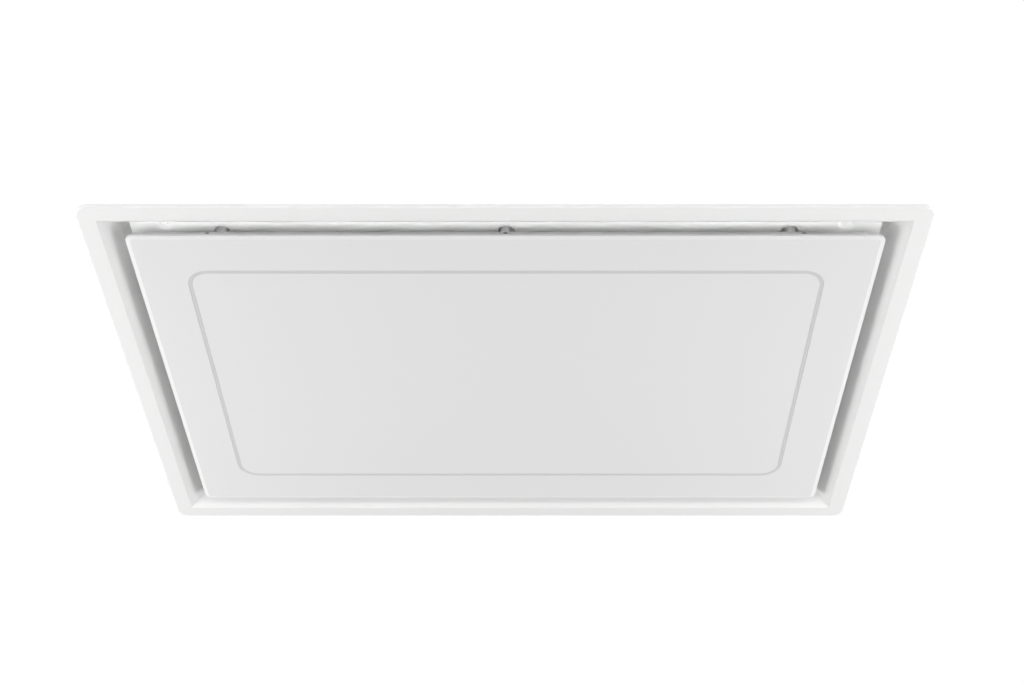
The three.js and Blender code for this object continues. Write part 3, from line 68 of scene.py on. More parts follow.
# %% [markdown]
# ## Camera
# The photo looks up at the hood from the front. Its two vanishing lines give the camera's place, its pitch and
# a lens of about 51 mm. The small shift puts the hood a little right of the middle, as in the photo.

# %% Camera
CAMERA_PLACE = Vector((25.2, -1396.7, -1067.5)) * MM
CAMERA_PITCH = 38.86  # degrees above the horizon
FOCAL_PIXELS = 1462
FRAME_WIDTH = 1024  # pixels
SENSOR = 36  # mm

camera_data = bpy.data.cameras.new("camera")
camera_data.sensor_width = SENSOR
camera_data.lens = FOCAL_PIXELS * SENSOR / FRAME_WIDTH
camera_data.shift_x = -17 / FRAME_WIDTH
camera_data.clip_end = 60
camera = bpy.data.objects.new("camera", camera_data)
camera.location = CAMERA_PLACE
camera.rotation_euler = (math.radians(90 + CAMERA_PITCH), 0, 0)
bpy.context.scene.collection.objects.link(camera)
bpy.context.scene.camera = camera
print("lens", round(camera_data.lens, 2), "mm")

# %% [markdown]
# ## Wiring
# The sky and every material are node trees. These helpers add nodes, set their sockets by name and link them.


# %% Node helpers
def set_values(node, **values):
    """Sets a node's input sockets by name."""
    for name, value in values.items():
        node.inputs[name.replace("_", " ")].default_value = value
    return node


def add_node(tree, kind, **values):
    return set_values(tree.nodes.new(kind), **values)


def wire(start, end):
    """Links an output socket to an input socket."""
    end.id_data.links.new(start, end)


def math_node(tree, operation, first, second=None):
    """A Math node. Each operand is a number or an output socket."""
    made = tree.nodes.new("ShaderNodeMath")
    made.operation = operation
    for socket, value in zip(made.inputs, (first, second)):
        if isinstance(value, (int, float)):
            socket.default_value = value
        elif value is not None:
            wire(value, socket)
    return made.outputs[0]


def mixed(tree, factor, first, second):
    """Mixes two shaders."""
    mix = add_node(tree, "ShaderNodeMixShader")
    for source, socket in zip((factor, first, second), mix.inputs):
        wire(source, socket)
    return mix.outputs[0]


# %% [markdown]
# ## White studio
# The photo is a product shot on pure white. The sky is one even white for the camera, and a softer grey-white
# gradient for everything else, so that polished steel has something to mirror. Soft lights low at both sides
# light the frame and leave the slopes beside the panel in its shadow. A lip light reaches only the frame, and
# two narrow gap lights reach only what stands in the gap before the panel.

# %% Sky
bpy.context.scene.view_settings.view_transform = "Standard"
world = bpy.data.worlds.new("studio")
bpy.context.scene.world = world
world.use_nodes = True
sky = world.node_tree
sky.nodes.clear()

SKY_BELOW = (0.62, 0.62, 0.62, 1)
SKY_ABOVE = (0.95, 0.955, 0.96, 1)
split = add_node(sky, "ShaderNodeSeparateXYZ")
wire(add_node(sky, "ShaderNodeTexCoord").outputs["Generated"], split.inputs[0])
height = add_node(sky, "ShaderNodeMapRange", From_Min=-0.6, From_Max=0.6)
wire(split.outputs["Z"], height.inputs["Value"])
blend = add_node(sky, "ShaderNodeMix")
blend.data_type = "RGBA"
set_values(blend, A=SKY_BELOW, B=SKY_ABOVE)
wire(height.outputs["Result"], blend.inputs["Factor"])
lighting = add_node(sky, "ShaderNodeBackground", Strength=0.6)
wire(blend.outputs["Result"], lighting.inputs["Color"])
backdrop = add_node(sky, "ShaderNodeBackground", Color=(1, 1, 1, 1), Strength=1.02)
seen = add_node(sky, "ShaderNodeLightPath").outputs["Is Camera Ray"]
sky_out = add_node(sky, "ShaderNodeOutputWorld")
wire(mixed(sky, seen, lighting.outputs[0], backdrop.outputs[0]), sky_out.inputs["Surface"])


# %% Lights
HOOD_MIDDLE = Vector((0, 0, 0))
NEAR_GAP = Vector((0, -0.245, 0.01))


def softbox(name, width, height, place, power, target=HOOD_MIDDLE):
    """A rectangular light that faces the hood."""
    data = bpy.data.lights.new(name, "AREA")
    data.shape = "RECTANGLE"
    data.size = width
    data.size_y = height
    data.energy = power
    light = bpy.data.objects.new(name, data)
    light.location = place
    light.rotation_euler = (Vector(target) - light.location).to_track_quat("-Z", "Y").to_euler()
    bpy.context.scene.collection.objects.link(light)
    return light


softbox("front_left_light", 0.5, 0.4, (-1.85, -0.95, -1.0), 7)
softbox("front_right_light", 0.5, 0.4, (1.85, -0.95, -1.0), 7)
softbox("left_light", 0.5, 0.9, (-1.9, 0.3, -0.8), 23.5)
softbox("right_light", 0.5, 0.9, (1.9, 0.3, -0.8), 22)
lip_light = softbox("lip_light", 2.4, 0.3, (0, -2.1, -0.5), 17)
gap_lights = [
    softbox("gap_light", 1.0, 0.1, (0, -0.58, -0.47), 0.33, NEAR_GAP),
    softbox("gap_fill", 1.0, 0.1, (0, -0.67, -0.42), 0.21, NEAR_GAP),
]
for light in gap_lights:
    light.data.spread = math.radians(24)
    light.visible_camera = False
softbox("top_light", 2.5, 2.5, (-0.8, -1.2, 2.6), 45)

# %% [markdown]
# ## Shared effects
# Powder coat, moulded plastic and rubber have a fine skin, and zinc and aluminium a grain of their own. Each
# effect is a node group that gives a Tone (about 1) and a Height. A material multiplies its colour by Tone and
# feeds Height to a Bump node. All patterns read Object coordinates, in metres.


# %% Group helpers
def new_group(name, *numbers):
    """An empty effect: a Vector and number inputs, and the outputs Tone and Height."""
    group = bpy.data.node_groups.new(name, "ShaderNodeTree")
    group.interface.new_socket("Vector", in_out="INPUT", socket_type="NodeSocketVector")
    for label in numbers:
        group.interface.new_socket(label, in_out="INPUT", socket_type="NodeSocketFloat")
    for label in ("Tone", "Height"):
        group.interface.new_socket(label, in_out="OUTPUT", socket_type="NodeSocketFloat")
    return group, group.nodes.new("NodeGroupInput").outputs, group.nodes.new("NodeGroupOutput").inputs


def around_one(tree, value, share):
    """Turns a 0 to 1 value into a tone that swings by share about 1."""
    centred = math_node(tree, "SUBTRACT", value, 0.5)
    return math_node(tree, "ADD", math_node(tree, "MULTIPLY", centred, share), 1.0)


# %% Skin: orange peel, moulded grain and soft blotches
skin, given, result = new_group("skin", "Grain Size", "Blotch Size", "Swing")
grain = add_node(skin, "ShaderNodeTexNoise", Detail=2.0, Roughness=0.5)
blotch = add_node(skin, "ShaderNodeTexNoise", Detail=3.0, Roughness=0.55)
for texture, size in ((grain, "Grain Size"), (blotch, "Blotch Size")):
    wire(given["Vector"], texture.inputs["Vector"])
    wire(math_node(skin, "DIVIDE", 1.0, given[size]), texture.inputs["Scale"])
wire(around_one(skin, blotch.outputs["Fac"], given["Swing"]), result["Tone"])
wire(grain.outputs["Fac"], result["Height"])

# %% Spangle: the crystals of hot-dip zinc
spangle, given, result = new_group("spangle", "Crystal Size", "Swing")
bend_noise = add_node(spangle, "ShaderNodeTexNoise", Scale=160.0, Detail=2.0)
wire(given["Vector"], bend_noise.inputs["Vector"])
bent = add_node(spangle, "ShaderNodeVectorMath")
bent.operation = "MULTIPLY_ADD"
bent.inputs[1].default_value = (0.006, 0.006, 0.006)
wire(bend_noise.outputs["Color"], bent.inputs[0])
wire(given["Vector"], bent.inputs[2])
crystals = add_node(spangle, "ShaderNodeTexVoronoi")
wire(bent.outputs[0], crystals.inputs["Vector"])
wire(math_node(spangle, "DIVIDE", 1.0, given["Crystal Size"]), crystals.inputs["Scale"])
crystal_tone = add_node(spangle, "ShaderNodeSeparateColor")
wire(crystals.outputs["Color"], crystal_tone.inputs[0])
wire(around_one(spangle, crystal_tone.outputs[0], given["Swing"]), result["Tone"])
wire(crystal_tone.outputs[1], result["Height"])

# %% Drawn grain: the long fine lines of rolled or brushed metal, along X
drawn, given, result = new_group("drawn_grain", "Line Size", "Swing")
stretch = add_node(drawn, "ShaderNodeMapping", Scale=(0.02, 1.0, 1.0))
wire(given["Vector"], stretch.inputs["Vector"])
lines = add_node(drawn, "ShaderNodeTexNoise", Detail=4.0, Roughness=0.6)
wire(stretch.outputs[0], lines.inputs["Vector"])
wire(math_node(drawn, "DIVIDE", 1.0, given["Line Size"]), lines.inputs["Scale"])
wire(around_one(drawn, lines.outputs["Fac"], given["Swing"]), result["Tone"])
wire(lines.outputs["Fac"], result["Height"])


# %% A finish from one colour and one effect
def finish(name, color, roughness, metallic, numbers, relief, rough_swing=0.1, group=skin, **shader_values):
    """A Principled material whose colour, roughness and bump follow an effect's Tone and Height."""
    made = bpy.data.materials.new(name)
    made.use_nodes = True
    tree = made.node_tree
    shader = set_values(tree.nodes["Principled BSDF"], Metallic=metallic, **shader_values)
    coordinates = tree.nodes.new("ShaderNodeTexCoord")
    effect = tree.nodes.new("ShaderNodeGroup")
    effect.node_tree = group
    for socket, value in zip(list(effect.inputs)[1:], numbers):
        socket.default_value = value
    wire(coordinates.outputs["Object"], effect.inputs["Vector"])
    toned = tree.nodes.new("ShaderNodeVectorMath")
    toned.operation = "SCALE"
    toned.inputs[0].default_value = color
    wire(effect.outputs["Tone"], toned.inputs["Scale"])
    wire(toned.outputs[0], shader.inputs["Base Color"])
    swing = math_node(tree, "MULTIPLY_ADD", effect.outputs["Height"], rough_swing)
    swing.node.inputs[2].default_value = roughness - rough_swing / 2
    wire(swing, shader.inputs["Roughness"])
    bump = add_node(tree, "ShaderNodeBump", Strength=1.0, Distance=relief)
    wire(effect.outputs["Height"], bump.inputs["Height"])
    wire(bump.outputs[0], shader.inputs["Normal"])
    return made


# %% [markdown]
# ## Finishes
# The room side is satin powder coat, and glass painted white on its back, a smooth even white under a clear
# coat. Above the ceiling the maker leaves zinc-coated sheet bare, with its frosty crystals. Each line gives a
# colour, roughness, metallic, the effect's own numbers in order, and the relief in metres.

# %% Room-side finishes
white_paint = finish("white_powder_coat", (0.87, 0.87, 0.865), 0.42, 0, (0.0011, 0.2, 0.012), 0.00002)
panel_glass = finish(
    "back_painted_glass", (0.89, 0.89, 0.89), 0.3, 0, (0.004, 0.4, 0.008), 0.000002, 0.04,
    Coat_Weight=0.5, Coat_Roughness=0.05)
opal = finish("opal_acrylic", (0.7, 0.7, 0.695), 0.35, 0, (0.0006, 0.05, 0.015), 0.000005)
tray_paint = finish("pale_grey_powder_coat", (0.78, 0.78, 0.775), 0.45, 0, (0.0011, 0.15, 0.015), 0.00002)
polished_steel = finish("polished_steel", (0.72, 0.72, 0.73), 0.14, 1, (0.0004, 0.01, 0.05), 0.000002)
satin_steel = finish("satin_steel", (0.85, 0.85, 0.85), 0.42, 0.55, (0.0004, 0.01, 0.05), 0.000002)
# The bevel's lighter white is a painted highlight, for the light that the panel's bevel catches.
bevel_highlight = finish("ground_glass_bevel", (0.95, 0.95, 0.95), 0.35, 0, (0.0006, 0.4, 0.008), 0.000002)

# %% Finishes above the ceiling
galvanised = finish("galvanised_sheet", (0.6, 0.615, 0.63), 0.42, 0.8, (0.007, 0.1), 0.000004, 0.08, spangle)
aluminium = finish("rolled_aluminium", (0.66, 0.67, 0.68), 0.36, 1, (0.0007, 0.1), 0.000006, 0.15, drawn)
mesh_aluminium = finish("mesh_aluminium", (0.6, 0.61, 0.62), 0.4, 1, (0.0009, 0.03, 0.18), 0.00001, 0.15)
white_plastic = finish("white_moulded_plastic", (0.8, 0.8, 0.79), 0.42, 0, (0.0005, 0.05, 0.02), 0.00001)
grey_plastic = finish("grey_moulded_plastic", (0.27, 0.28, 0.29), 0.5, 0, (0.0006, 0.05, 0.06), 0.00002)
black_plastic = finish("black_moulded_plastic", (0.025, 0.025, 0.028), 0.48, 0, (0.0006, 0.05, 0.15), 0.00003)
rubber = finish("rubber", (0.02, 0.02, 0.02), 0.75, 0, (0.0008, 0.02, 0.3), 0.00004)
foam = finish("sealing_foam", (0.04, 0.04, 0.044), 0.95, 0, (0.0012, 0.03, 0.3), 0.0003)
magnet = finish("nickel_plated_magnet", (0.55, 0.54, 0.52), 0.22, 1, (0.0006, 0.01, 0.08), 0.000004)
motor_enamel = finish("motor_enamel", (0.05, 0.055, 0.06), 0.35, 0.2, (0.0012, 0.05, 0.12), 0.00003)
solder_mask = finish("solder_mask", (0.02, 0.13, 0.055), 0.35, 0, (0.003, 0.02, 0.12), 0.00001)
print(len(bpy.data.materials), "materials")

# %% [markdown]
# ## A finish for every node
# Each node of the engineering model gets the finish of its material slot. Nodes whose shape is already right
# keep this look to the end.

# %% Paint the engineering model
FINISH_OF_SLOT = {
    "white_paint": white_paint, "white_glass": panel_glass, "opal": opal, "tray_paint": tray_paint,
    "polished_steel": polished_steel, "galvanised_steel": galvanised, "aluminium": aluminium,
    "filter_mesh": mesh_aluminium, "white_plastic": white_plastic, "grey_plastic": grey_plastic,
    "black_plastic": black_plastic, "rubber": rubber, "foam": foam, "magnet": magnet,
    "motor_enamel": motor_enamel, "circuit_board": solder_mask,
}
slot_of_node = {part["node"]: part["material_slot"] for part in frame["record"]["subparts"]}
body_of_node = {
    node: body for body, members in frame["record"]["behaviour"]["bodies"].items() for node in members
}
for node, cad_object in frame["nodes"].items():
    cad_object.data.materials.clear()
    cad_object.data.materials.append(FINISH_OF_SLOT[slot_of_node[node]])
print("painted", len(frame["nodes"]), "nodes")

# %% [markdown]
# ## The bench: small helpers for modelling by operators
# An operator acts on whatever is selected, so every step starts by deselecting everything. Elements are then
# picked in code by where they lie or which way they face, which a hand would do with the mouse.


# %% Selecting and editing
def only(*pieces):
    """Selects these objects alone and makes the first one active."""
    bpy.ops.object.select_all(action="DESELECT")
    for piece in pieces:
        piece.select_set(True)
    bpy.context.view_layer.objects.active = pieces[0]


def edit(piece, element="FACE", everything=False):
    """Opens a piece in edit mode with nothing selected, or everything."""
    only(piece)
    bpy.ops.object.mode_set(mode="EDIT")
    bpy.ops.mesh.select_mode(type=element)
    bpy.ops.mesh.select_all(action="SELECT" if everything else "DESELECT")


def select_all():
    bpy.ops.mesh.select_all(action="SELECT")


def leave_edit():
    bpy.ops.object.mode_set(mode="OBJECT")


def pick(piece, element, test):
    """Selects the faces or edges whose middle passes the test, in edit mode. Faces also pass their normal."""
    bpy.ops.mesh.select_mode(type=element)
    shape = bmesh.from_edit_mesh(piece.data)
    for item in (shape.faces if element == "FACE" else shape.edges):
        if element == "FACE":
            wanted = test(item.calc_center_median(), item.normal)
        else:
            wanted = test((item.verts[0].co + item.verts[1].co) / 2, item)
        item.select_set(wanted)
    shape.select_flush_mode()
    bmesh.update_edit_mesh(piece.data)


def settle(name, scale=None, turn=None, place=None):
    """Names the active object and puts its size, turn and place into its mesh."""
    piece = bpy.context.active_object
    piece.name = piece.data.name = name
    for label, value in (("scale", scale), ("rotation_euler", turn), ("location", place)):
        if value is not None:
            setattr(piece, label, value)
    only(piece)
    bpy.ops.object.transform_apply(location=True, rotation=True, scale=True)
    return piece


def near(value, target, reach=0.05 * MM):
    return abs(value - target) < reach


# %% Modifiers that are applied at once
def shape_with(piece, kind, **values):
    """Adds a modifier, sets its values and applies it."""
    only(piece)
    modifier = piece.modifiers.new(kind.lower(), kind)
    for label, value in values.items():
        setattr(modifier, label, value)
    bpy.ops.object.modifier_apply(modifier=modifier.name)


def combine(piece, operation, tools):
    """Cuts tools from a piece or welds them on, and throws the tools away."""
    for tool in tools:
        shape_with(piece, "BOOLEAN", operation=operation, solver="EXACT", object=tool)
        bpy.data.objects.remove(tool)
    return piece


def cut(piece, *tools):
    return combine(piece, "DIFFERENCE", tools)


def weld(piece, *tools):
    return combine(piece, "UNION", tools)


def face_out(piece):
    edit(piece, everything=True)
    bpy.ops.mesh.normals_make_consistent(inside=False)
    leave_edit()


SMOOTH_ANGLE = math.radians(35)


def shaded(piece):
    """Shades round sides smooth, and lets large flat faces keep their own direction."""
    only(piece)
    if piece.data.has_custom_normals:
        bpy.ops.mesh.customdata_custom_splitnormals_clear()
    bpy.ops.object.shade_smooth_by_angle(angle=SMOOTH_ANGLE)
    shape_with(piece, "WEIGHTED_NORMAL", keep_sharp=True)
    return piece


def soften(piece, width, segments=2, angle=30):
    """Rounds every edge sharper than an angle, and shades the rest smooth."""
    shape_with(
        piece, "BEVEL", limit_method="ANGLE", angle_limit=math.radians(angle), width=width, segments=segments,
        use_clamp_overlap=True, miter_outer="MITER_ARC")
    return shaded(piece)


# %% Simple bodies to start from
def block(name, low, high):
    """A box between two corners."""
    low, high = Vector(low), Vector(high)
    bpy.ops.mesh.primitive_cube_add(size=1)
    return settle(name, scale=high - low, place=(low + high) / 2)


def slab(name, half_x, half_y, corner, low, high, middle=(0, 0), steps=10):
    """A plate with rounded upright edges, between two heights."""
    bpy.ops.mesh.primitive_plane_add(size=1)
    piece = settle(name, scale=(2 * half_x, 2 * half_y, 1), place=(*middle, low))
    edit(piece, "VERT", everything=True)
    bpy.ops.mesh.bevel(offset=corner, segments=steps, affect="VERTICES")
    select_all()
    bpy.ops.mesh.extrude_region_move(TRANSFORM_OT_translate={"value": (0, 0, high - low)})
    leave_edit()
    face_out(piece)
    return piece


def above(base, points):
    """Profile points (radius, height) in mm, whose heights count from a base that is in metres."""
    return [(radius * MM, base + height * MM) for radius, height in points]


def quarter(steps):
    """The angles of a quarter turn."""
    return [step / steps * math.pi / 2 for step in range(steps + 1)]


def spun(name, profile, steps=48, place=(0, 0, 0), turn=None):
    """Spins a line of (radius, height) points about Z, then turns and places the result."""
    bpy.ops.mesh.primitive_plane_add(size=MM)
    piece = settle(name, place=(profile[0][0], 0, profile[0][1]))
    edit(piece, "VERT", everything=True)
    bpy.ops.mesh.merge(type="CENTER")
    for (radius, height), (next_radius, next_height) in zip(profile, profile[1:]):
        step = (next_radius - radius, 0, next_height - height)
        bpy.ops.mesh.extrude_vertices_move(TRANSFORM_OT_translate={"value": step})
    select_all()
    bpy.ops.mesh.spin(steps=steps, angle=math.tau, center=(0, 0, 0), axis=(0, 0, 1))
    select_all()
    bpy.ops.mesh.remove_doubles(threshold=0.002 * MM)
    bpy.ops.mesh.normals_make_consistent(inside=False)
    leave_edit()
    return settle(name, turn=turn, place=place)


def rod(name, radius, low, high, steps=48, place=(0, 0, 0), turn=None):
    return spun(name, [(0, low), (radius, low), (radius, high), (0, high)], steps, place, turn)


def copied(piece, name, move=(0, 0, 0), turn=(0, 0, 0)):
    """A copy with its own mesh, turned about the origin and then moved."""
    twin = piece.copy()
    twin.data = piece.data.copy()
    bpy.context.scene.collection.objects.link(twin)
    only(twin)
    return settle(name, turn=turn, place=move)


def joined(name, pieces):
    """Several objects as one."""
    only(*pieces)
    bpy.ops.object.join()
    return settle(name)


# %% Places
SIDES = ("left", "right")
ENDS = ("front", "rear")
CORNERS = [f"{end}_{side}" for end in ENDS for side in SIDES]
PLACES = ("left", "centre", "right")
TOWARD = {
    "front": (math.pi / 2, 0, 0), "rear": (-math.pi / 2, 0, 0), "left": (0, -math.pi / 2, 0),
    "right": (0, math.pi / 2, 0), "up": (0, 0, 0), "down": (math.pi, 0, 0),
}  # the turn that points a piece's +Z to a side


def span(node):
    """The low and the high corner of a node's box, and its middle."""
    low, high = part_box(node)
    return low, high, (low + high) / 2


def beside(middle, x, y, z):
    """The place x and y mm from a middle, at a height in metres."""
    return Vector((middle.x + x * MM, middle.y + y * MM, z))


# %% Finishing a piece
def dress(piece, node, material=None, hide=True):
    """Paints a piece, makes it move with a node's body, and lets it stand for the node."""
    piece.data.materials.clear()
    piece.data.materials.append(material or FINISH_OF_SLOT[slot_of_node[node]])
    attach(piece, body_of_node[node])
    if hide:
        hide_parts(node)
    return piece


def added(name, pieces, node, material=None):
    """Small pieces, joined into one that moves with a node and hides nothing."""
    return dress(shaded(joined(name, pieces)), node, material, hide=False)


def turned(node, profile, steps, place=None, turn=None, material=None):
    """A round node's finer piece, as from the lathe. Unless a place is given, it keeps its upright axis."""
    if place is None:
        place = beside(span(node)[2], 0, 0, 0)
    return dress(shaded(spun(node + "_fine", profile, steps, place, turn)), node, material)


def one_sided(tree, front):
    """Gives a stage a shader on its front and leaves its back clear."""
    back = add_node(tree, "ShaderNodeNewGeometry").outputs["Backfacing"]
    clear = add_node(tree, "ShaderNodeBsdfTransparent").outputs[0]
    wire(mixed(tree, back, front, clear), tree.nodes["Material Output"].inputs["Surface"])


# %% [markdown]
# ## Ceiling
# The hood is let into a plain white ceiling, a stage whose cut-out ends behind the lip. The camera sees it as
# pure white, as on the photo, while the hood gets soft light back from it. From above it is clear, so the
# housing shows there.

# %% Ceiling
CUT_OUT = (898 * MM, 598 * MM, 1)
CUT_OUT_CORNER = 12 * MM
CEILING_REACH = (12, 16, 1)  # times the cut-out
bpy.ops.mesh.primitive_plane_add(size=1)
ceiling = settle("ceiling", scale=CUT_OUT, turn=TOWARD["down"])
edit(ceiling, "VERT", everything=True)
bpy.ops.mesh.bevel(offset=CUT_OUT_CORNER, segments=8, affect="VERTICES")
bpy.ops.mesh.select_mode(type="EDGE")
select_all()
bpy.ops.mesh.extrude_edges_move()
bpy.ops.transform.resize(value=CEILING_REACH)
pick(ceiling, "FACE", lambda middle, normal: middle.xy.length < 0.1)
bpy.ops.mesh.delete(type="FACE")
leave_edit()
face_out(ceiling)
if ceiling.data.polygons[0].normal.z > 0:
    edit(ceiling, everything=True)
    bpy.ops.mesh.flip_normals()
    leave_edit()

ceiling_paint = bpy.data.materials.new("ceiling_paint")
ceiling_paint.use_nodes = True
tree = ceiling_paint.node_tree
matt = add_node(tree, "ShaderNodeBsdfDiffuse", Color=(0.8, 0.8, 0.8, 1))
pure_white = add_node(tree, "ShaderNodeEmission", Color=(1, 1, 1, 1), Strength=1.02)
seen = add_node(tree, "ShaderNodeLightPath").outputs["Is Camera Ray"]
one_sided(tree, mixed(tree, seen, matt.outputs[0], pure_white.outputs[0]))
ceiling.data.materials.append(ceiling_paint)

# %% [markdown]
# ## Floor
# A plain pale floor, also a stage, lies a room's height below and shows in the views from above. The ceiling
# keeps most light off it, so its paint gives a little of its own. It sends none to the hood, and from below it
# is clear.

# %% Floor
ROOM_HEIGHT = 2.4
bpy.ops.mesh.primitive_plane_add(size=60)
floor = settle("floor", place=(0, 0, -ROOM_HEIGHT))
floor_paint = bpy.data.materials.new("floor_paint")
floor_paint.use_nodes = True
paint = set_values(
    floor_paint.node_tree.nodes["Principled BSDF"], Base_Color=(0.3, 0.3, 0.3, 1), Roughness=0.9,
    Emission_Color=(1, 1, 1, 1), Emission_Strength=0.8)
one_sided(floor_paint.node_tree, paint.outputs[0])
floor.data.materials.append(floor_paint)
floor.visible_diffuse = floor.visible_glossy = False

# %% [markdown]
# ## Every node, refined
# A node's solid is made of bare triangles with hard edges. Many have the right shape already, so a copy is
# enough: its triangles are merged into faces, its edges get a small radius that catches the light, and round
# sides are shaded smooth. The lessons after this one make finer pieces for the others.


# %% Refined copies
def refined(node, edge):
    """A copy of a node's solid with merged faces and rounded edges."""
    source = frame["nodes"][node]
    place = source.matrix_world.copy()
    piece = source.copy()
    piece.data = source.data.copy()
    for label in list(piece.keys()):
        del piece[label]
    bpy.context.scene.collection.objects.link(piece)
    piece.parent = None
    piece.matrix_world = place
    only(piece)
    settle(node + "_fine")
    edit(piece, "VERT", everything=True)
    bpy.ops.mesh.remove_doubles(threshold=0.001 * MM)
    leave_edit()
    edit(piece, everything=True)
    bpy.ops.mesh.dissolve_limited(angle_limit=math.radians(0.5))
    bpy.ops.mesh.normals_make_consistent(inside=False)
    leave_edit()
    if edge:
        soften(piece, edge, 2, 40)
    return shaded(piece)


EDGES = {
    "panel_tray": 0.2, "post_rail": 0.3, "filter_frame": 0.7, "filter_latch": 0.5, "hinge_arm": 0.3,
    "housing_shell": 0.6, "housing_cover": 0.6, "hanger": 0.6, "blower_scroll": 0.3, "scroll_floor": 0.3,
    "blower_wheel": 0, "duct_adaptor": 0.3, "damper_flap": 0.2, "control_box": 0.6, "control_lid": 0.5,
    "body_gasket": 0.5,
}  # in mm, for every node whose name starts so
fine = {
    node: dress(refined(node, edge * MM), node)
    for start, edge in EDGES.items() for node in frame["nodes"] if node.startswith(start)}
print("refined", len(fine), "nodes")

# %% [markdown]
# ## Trim frame
# The real frame is one sheet, folded into lip, flange, slope and wall, and welded at its mitres. A swept
# profile would blur them. So a rounded lip and a sharp-cornered recess are made apart, and the flat flange
# fills the ring between them. The folds are then bevelled to their bend radii, and Solidify gives the sheet
# its thickness.

# %% Trim frame
FLANGE_WIDTH = 20 * MM
FLANGE_CORNER = 13 * MM
SLOPE_RUN = 19 * MM
SLOPE_RISE = 16.5 * MM
TRIM_SHEET = 1.2 * MM
FOLD_OFFSETS = {"lip": 1.6 * MM, "flange": 0.9 * MM, "slope": 1.4 * MM}

trim_low, trim_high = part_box("trim_frame")
half_x, half_y = trim_high.x, trim_high.y
flange_z = trim_low.z
slope_top = flange_z + SLOPE_RISE
opening_x, opening_y = half_x - FLANGE_WIDTH, half_y - FLANGE_WIDTH
recess_x, recess_y = opening_x - SLOPE_RUN, opening_y - SLOPE_RUN

lip = slab("lip", half_x, half_y, FLANGE_CORNER, flange_z, 0, steps=14)
edit(lip)
pick(lip, "FACE", lambda middle, normal: near(middle.z, 0))
bpy.ops.mesh.delete(type="FACE")
pick(lip, "EDGE", lambda middle, edge: near(middle.z, flange_z))
bpy.ops.mesh.bevel(offset=FOLD_OFFSETS["lip"], segments=5, affect="EDGES")
pick(lip, "FACE", lambda middle, normal: near(middle.z, flange_z) and middle.xy.length < 0.1)
bpy.ops.mesh.delete(type="FACE")
leave_edit()

bpy.ops.mesh.primitive_plane_add(size=1)
recess = settle("recess", scale=(2 * opening_x, 2 * opening_y, 1), place=(0, 0, flange_z))
edit(recess, everything=True)
bpy.ops.mesh.inset(thickness=SLOPE_RUN)
bpy.ops.transform.translate(value=(0, 0, SLOPE_RISE))
bpy.ops.mesh.extrude_region_move(TRANSFORM_OT_translate={"value": (0, 0, trim_high.z - slope_top)})
bpy.ops.mesh.delete(type="ONLY_FACE")
leave_edit()

trim = joined("trim_frame_fine", [lip, recess])
edit(trim)
pick(trim, "EDGE", lambda middle, edge: edge.is_boundary and near(middle.z, flange_z))
bpy.ops.mesh.fill()
leave_edit()
face_out(trim)


# %% Folds of the trim frame
def on_loop(middle, x, y, z):
    """Whether a point lies on the sharp-cornered rectangle of a fold."""
    across = near(abs(middle.x), x) and abs(middle.y) < y
    along = near(abs(middle.y), y) and abs(middle.x) < x
    return near(middle.z, z) and (across or along)


edit(trim)
pick(trim, "EDGE", lambda middle, edge: on_loop(middle, opening_x, opening_y, flange_z))
bpy.ops.mesh.bevel(offset=FOLD_OFFSETS["flange"], segments=4, affect="EDGES")
pick(trim, "EDGE", lambda middle, edge: on_loop(middle, recess_x, recess_y, slope_top))
bpy.ops.mesh.bevel(offset=FOLD_OFFSETS["slope"], segments=4, affect="EDGES")
leave_edit()
shape_with(trim, "SOLIDIFY", thickness=TRIM_SHEET, offset=-1, use_even_offset=True)
dress(shaded(trim), "trim_frame")

# %% [markdown]
# ## Deck
# The deck is the white sheet that closes the recess. Its screws sit in shallow round dimples pressed upward, so
# that no head stands proud. Each dimple is a spun dish, welded into a hole in the sheet.

# %% Deck sheet
DECK_SHEET = 1.5 * MM
FILTER_GAP = 0.8 * MM
OPENING_HALF_Y = 185 * MM
CATCH_HOLE_R = 10.8 * MM
DIMPLE_HOLE_R = 11.2 * MM  # the dish overlaps it by 0.4 mm
THROUGH = 0.1  # reaches past any sheet

deck_low, deck_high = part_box("deck_plate")
deck_top = deck_low.z + DECK_SHEET
deck = block("deck_plate_fine", deck_low, (deck_high.x, deck_high.y, deck_top))
tools = []
for side in SIDES:
    low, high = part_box(f"filter_frame_{side}")
    tools.append(block(
        "opening", (low.x - FILTER_GAP, -OPENING_HALF_Y, 0), (high.x + FILTER_GAP, OPENING_HALF_Y, THROUGH)))
for place in PLACES:
    middle = span(f"catch_cup_{place}")[2]
    tools.append(rod("catch_hole", CATCH_HOLE_R, 0, THROUGH, place=beside(middle, 0, 0, 0)))
screw_places = [beside(span(f"deck_screw_{corner}")[2], 0, 0, 0) for corner in CORNERS]
for place in screw_places:
    tools.append(rod("dimple_hole", DIMPLE_HOLE_R, 0, THROUGH, place=place))
cut(deck, *tools)

dish_under = [(11.6, 0), (10.4, 0), (10, 0.08), (9.5, 0.32), (7, 1.68), (6.5, 1.92), (6, 2), (2.3, 2)]
dish_over = [(2.3, 2), (6.6, 2), (7.4, 1.84), (10.4, 0.16), (11, 0), (11.6, 0)]
dish_profile = above(deck_low.z, dish_under) + above(deck_top, dish_over) + above(deck_low.z, dish_under[:1])
weld(deck, *[spun("dish", dish_profile, 48, place=place) for place in screw_places])
dress(shaded(deck), "deck_plate")


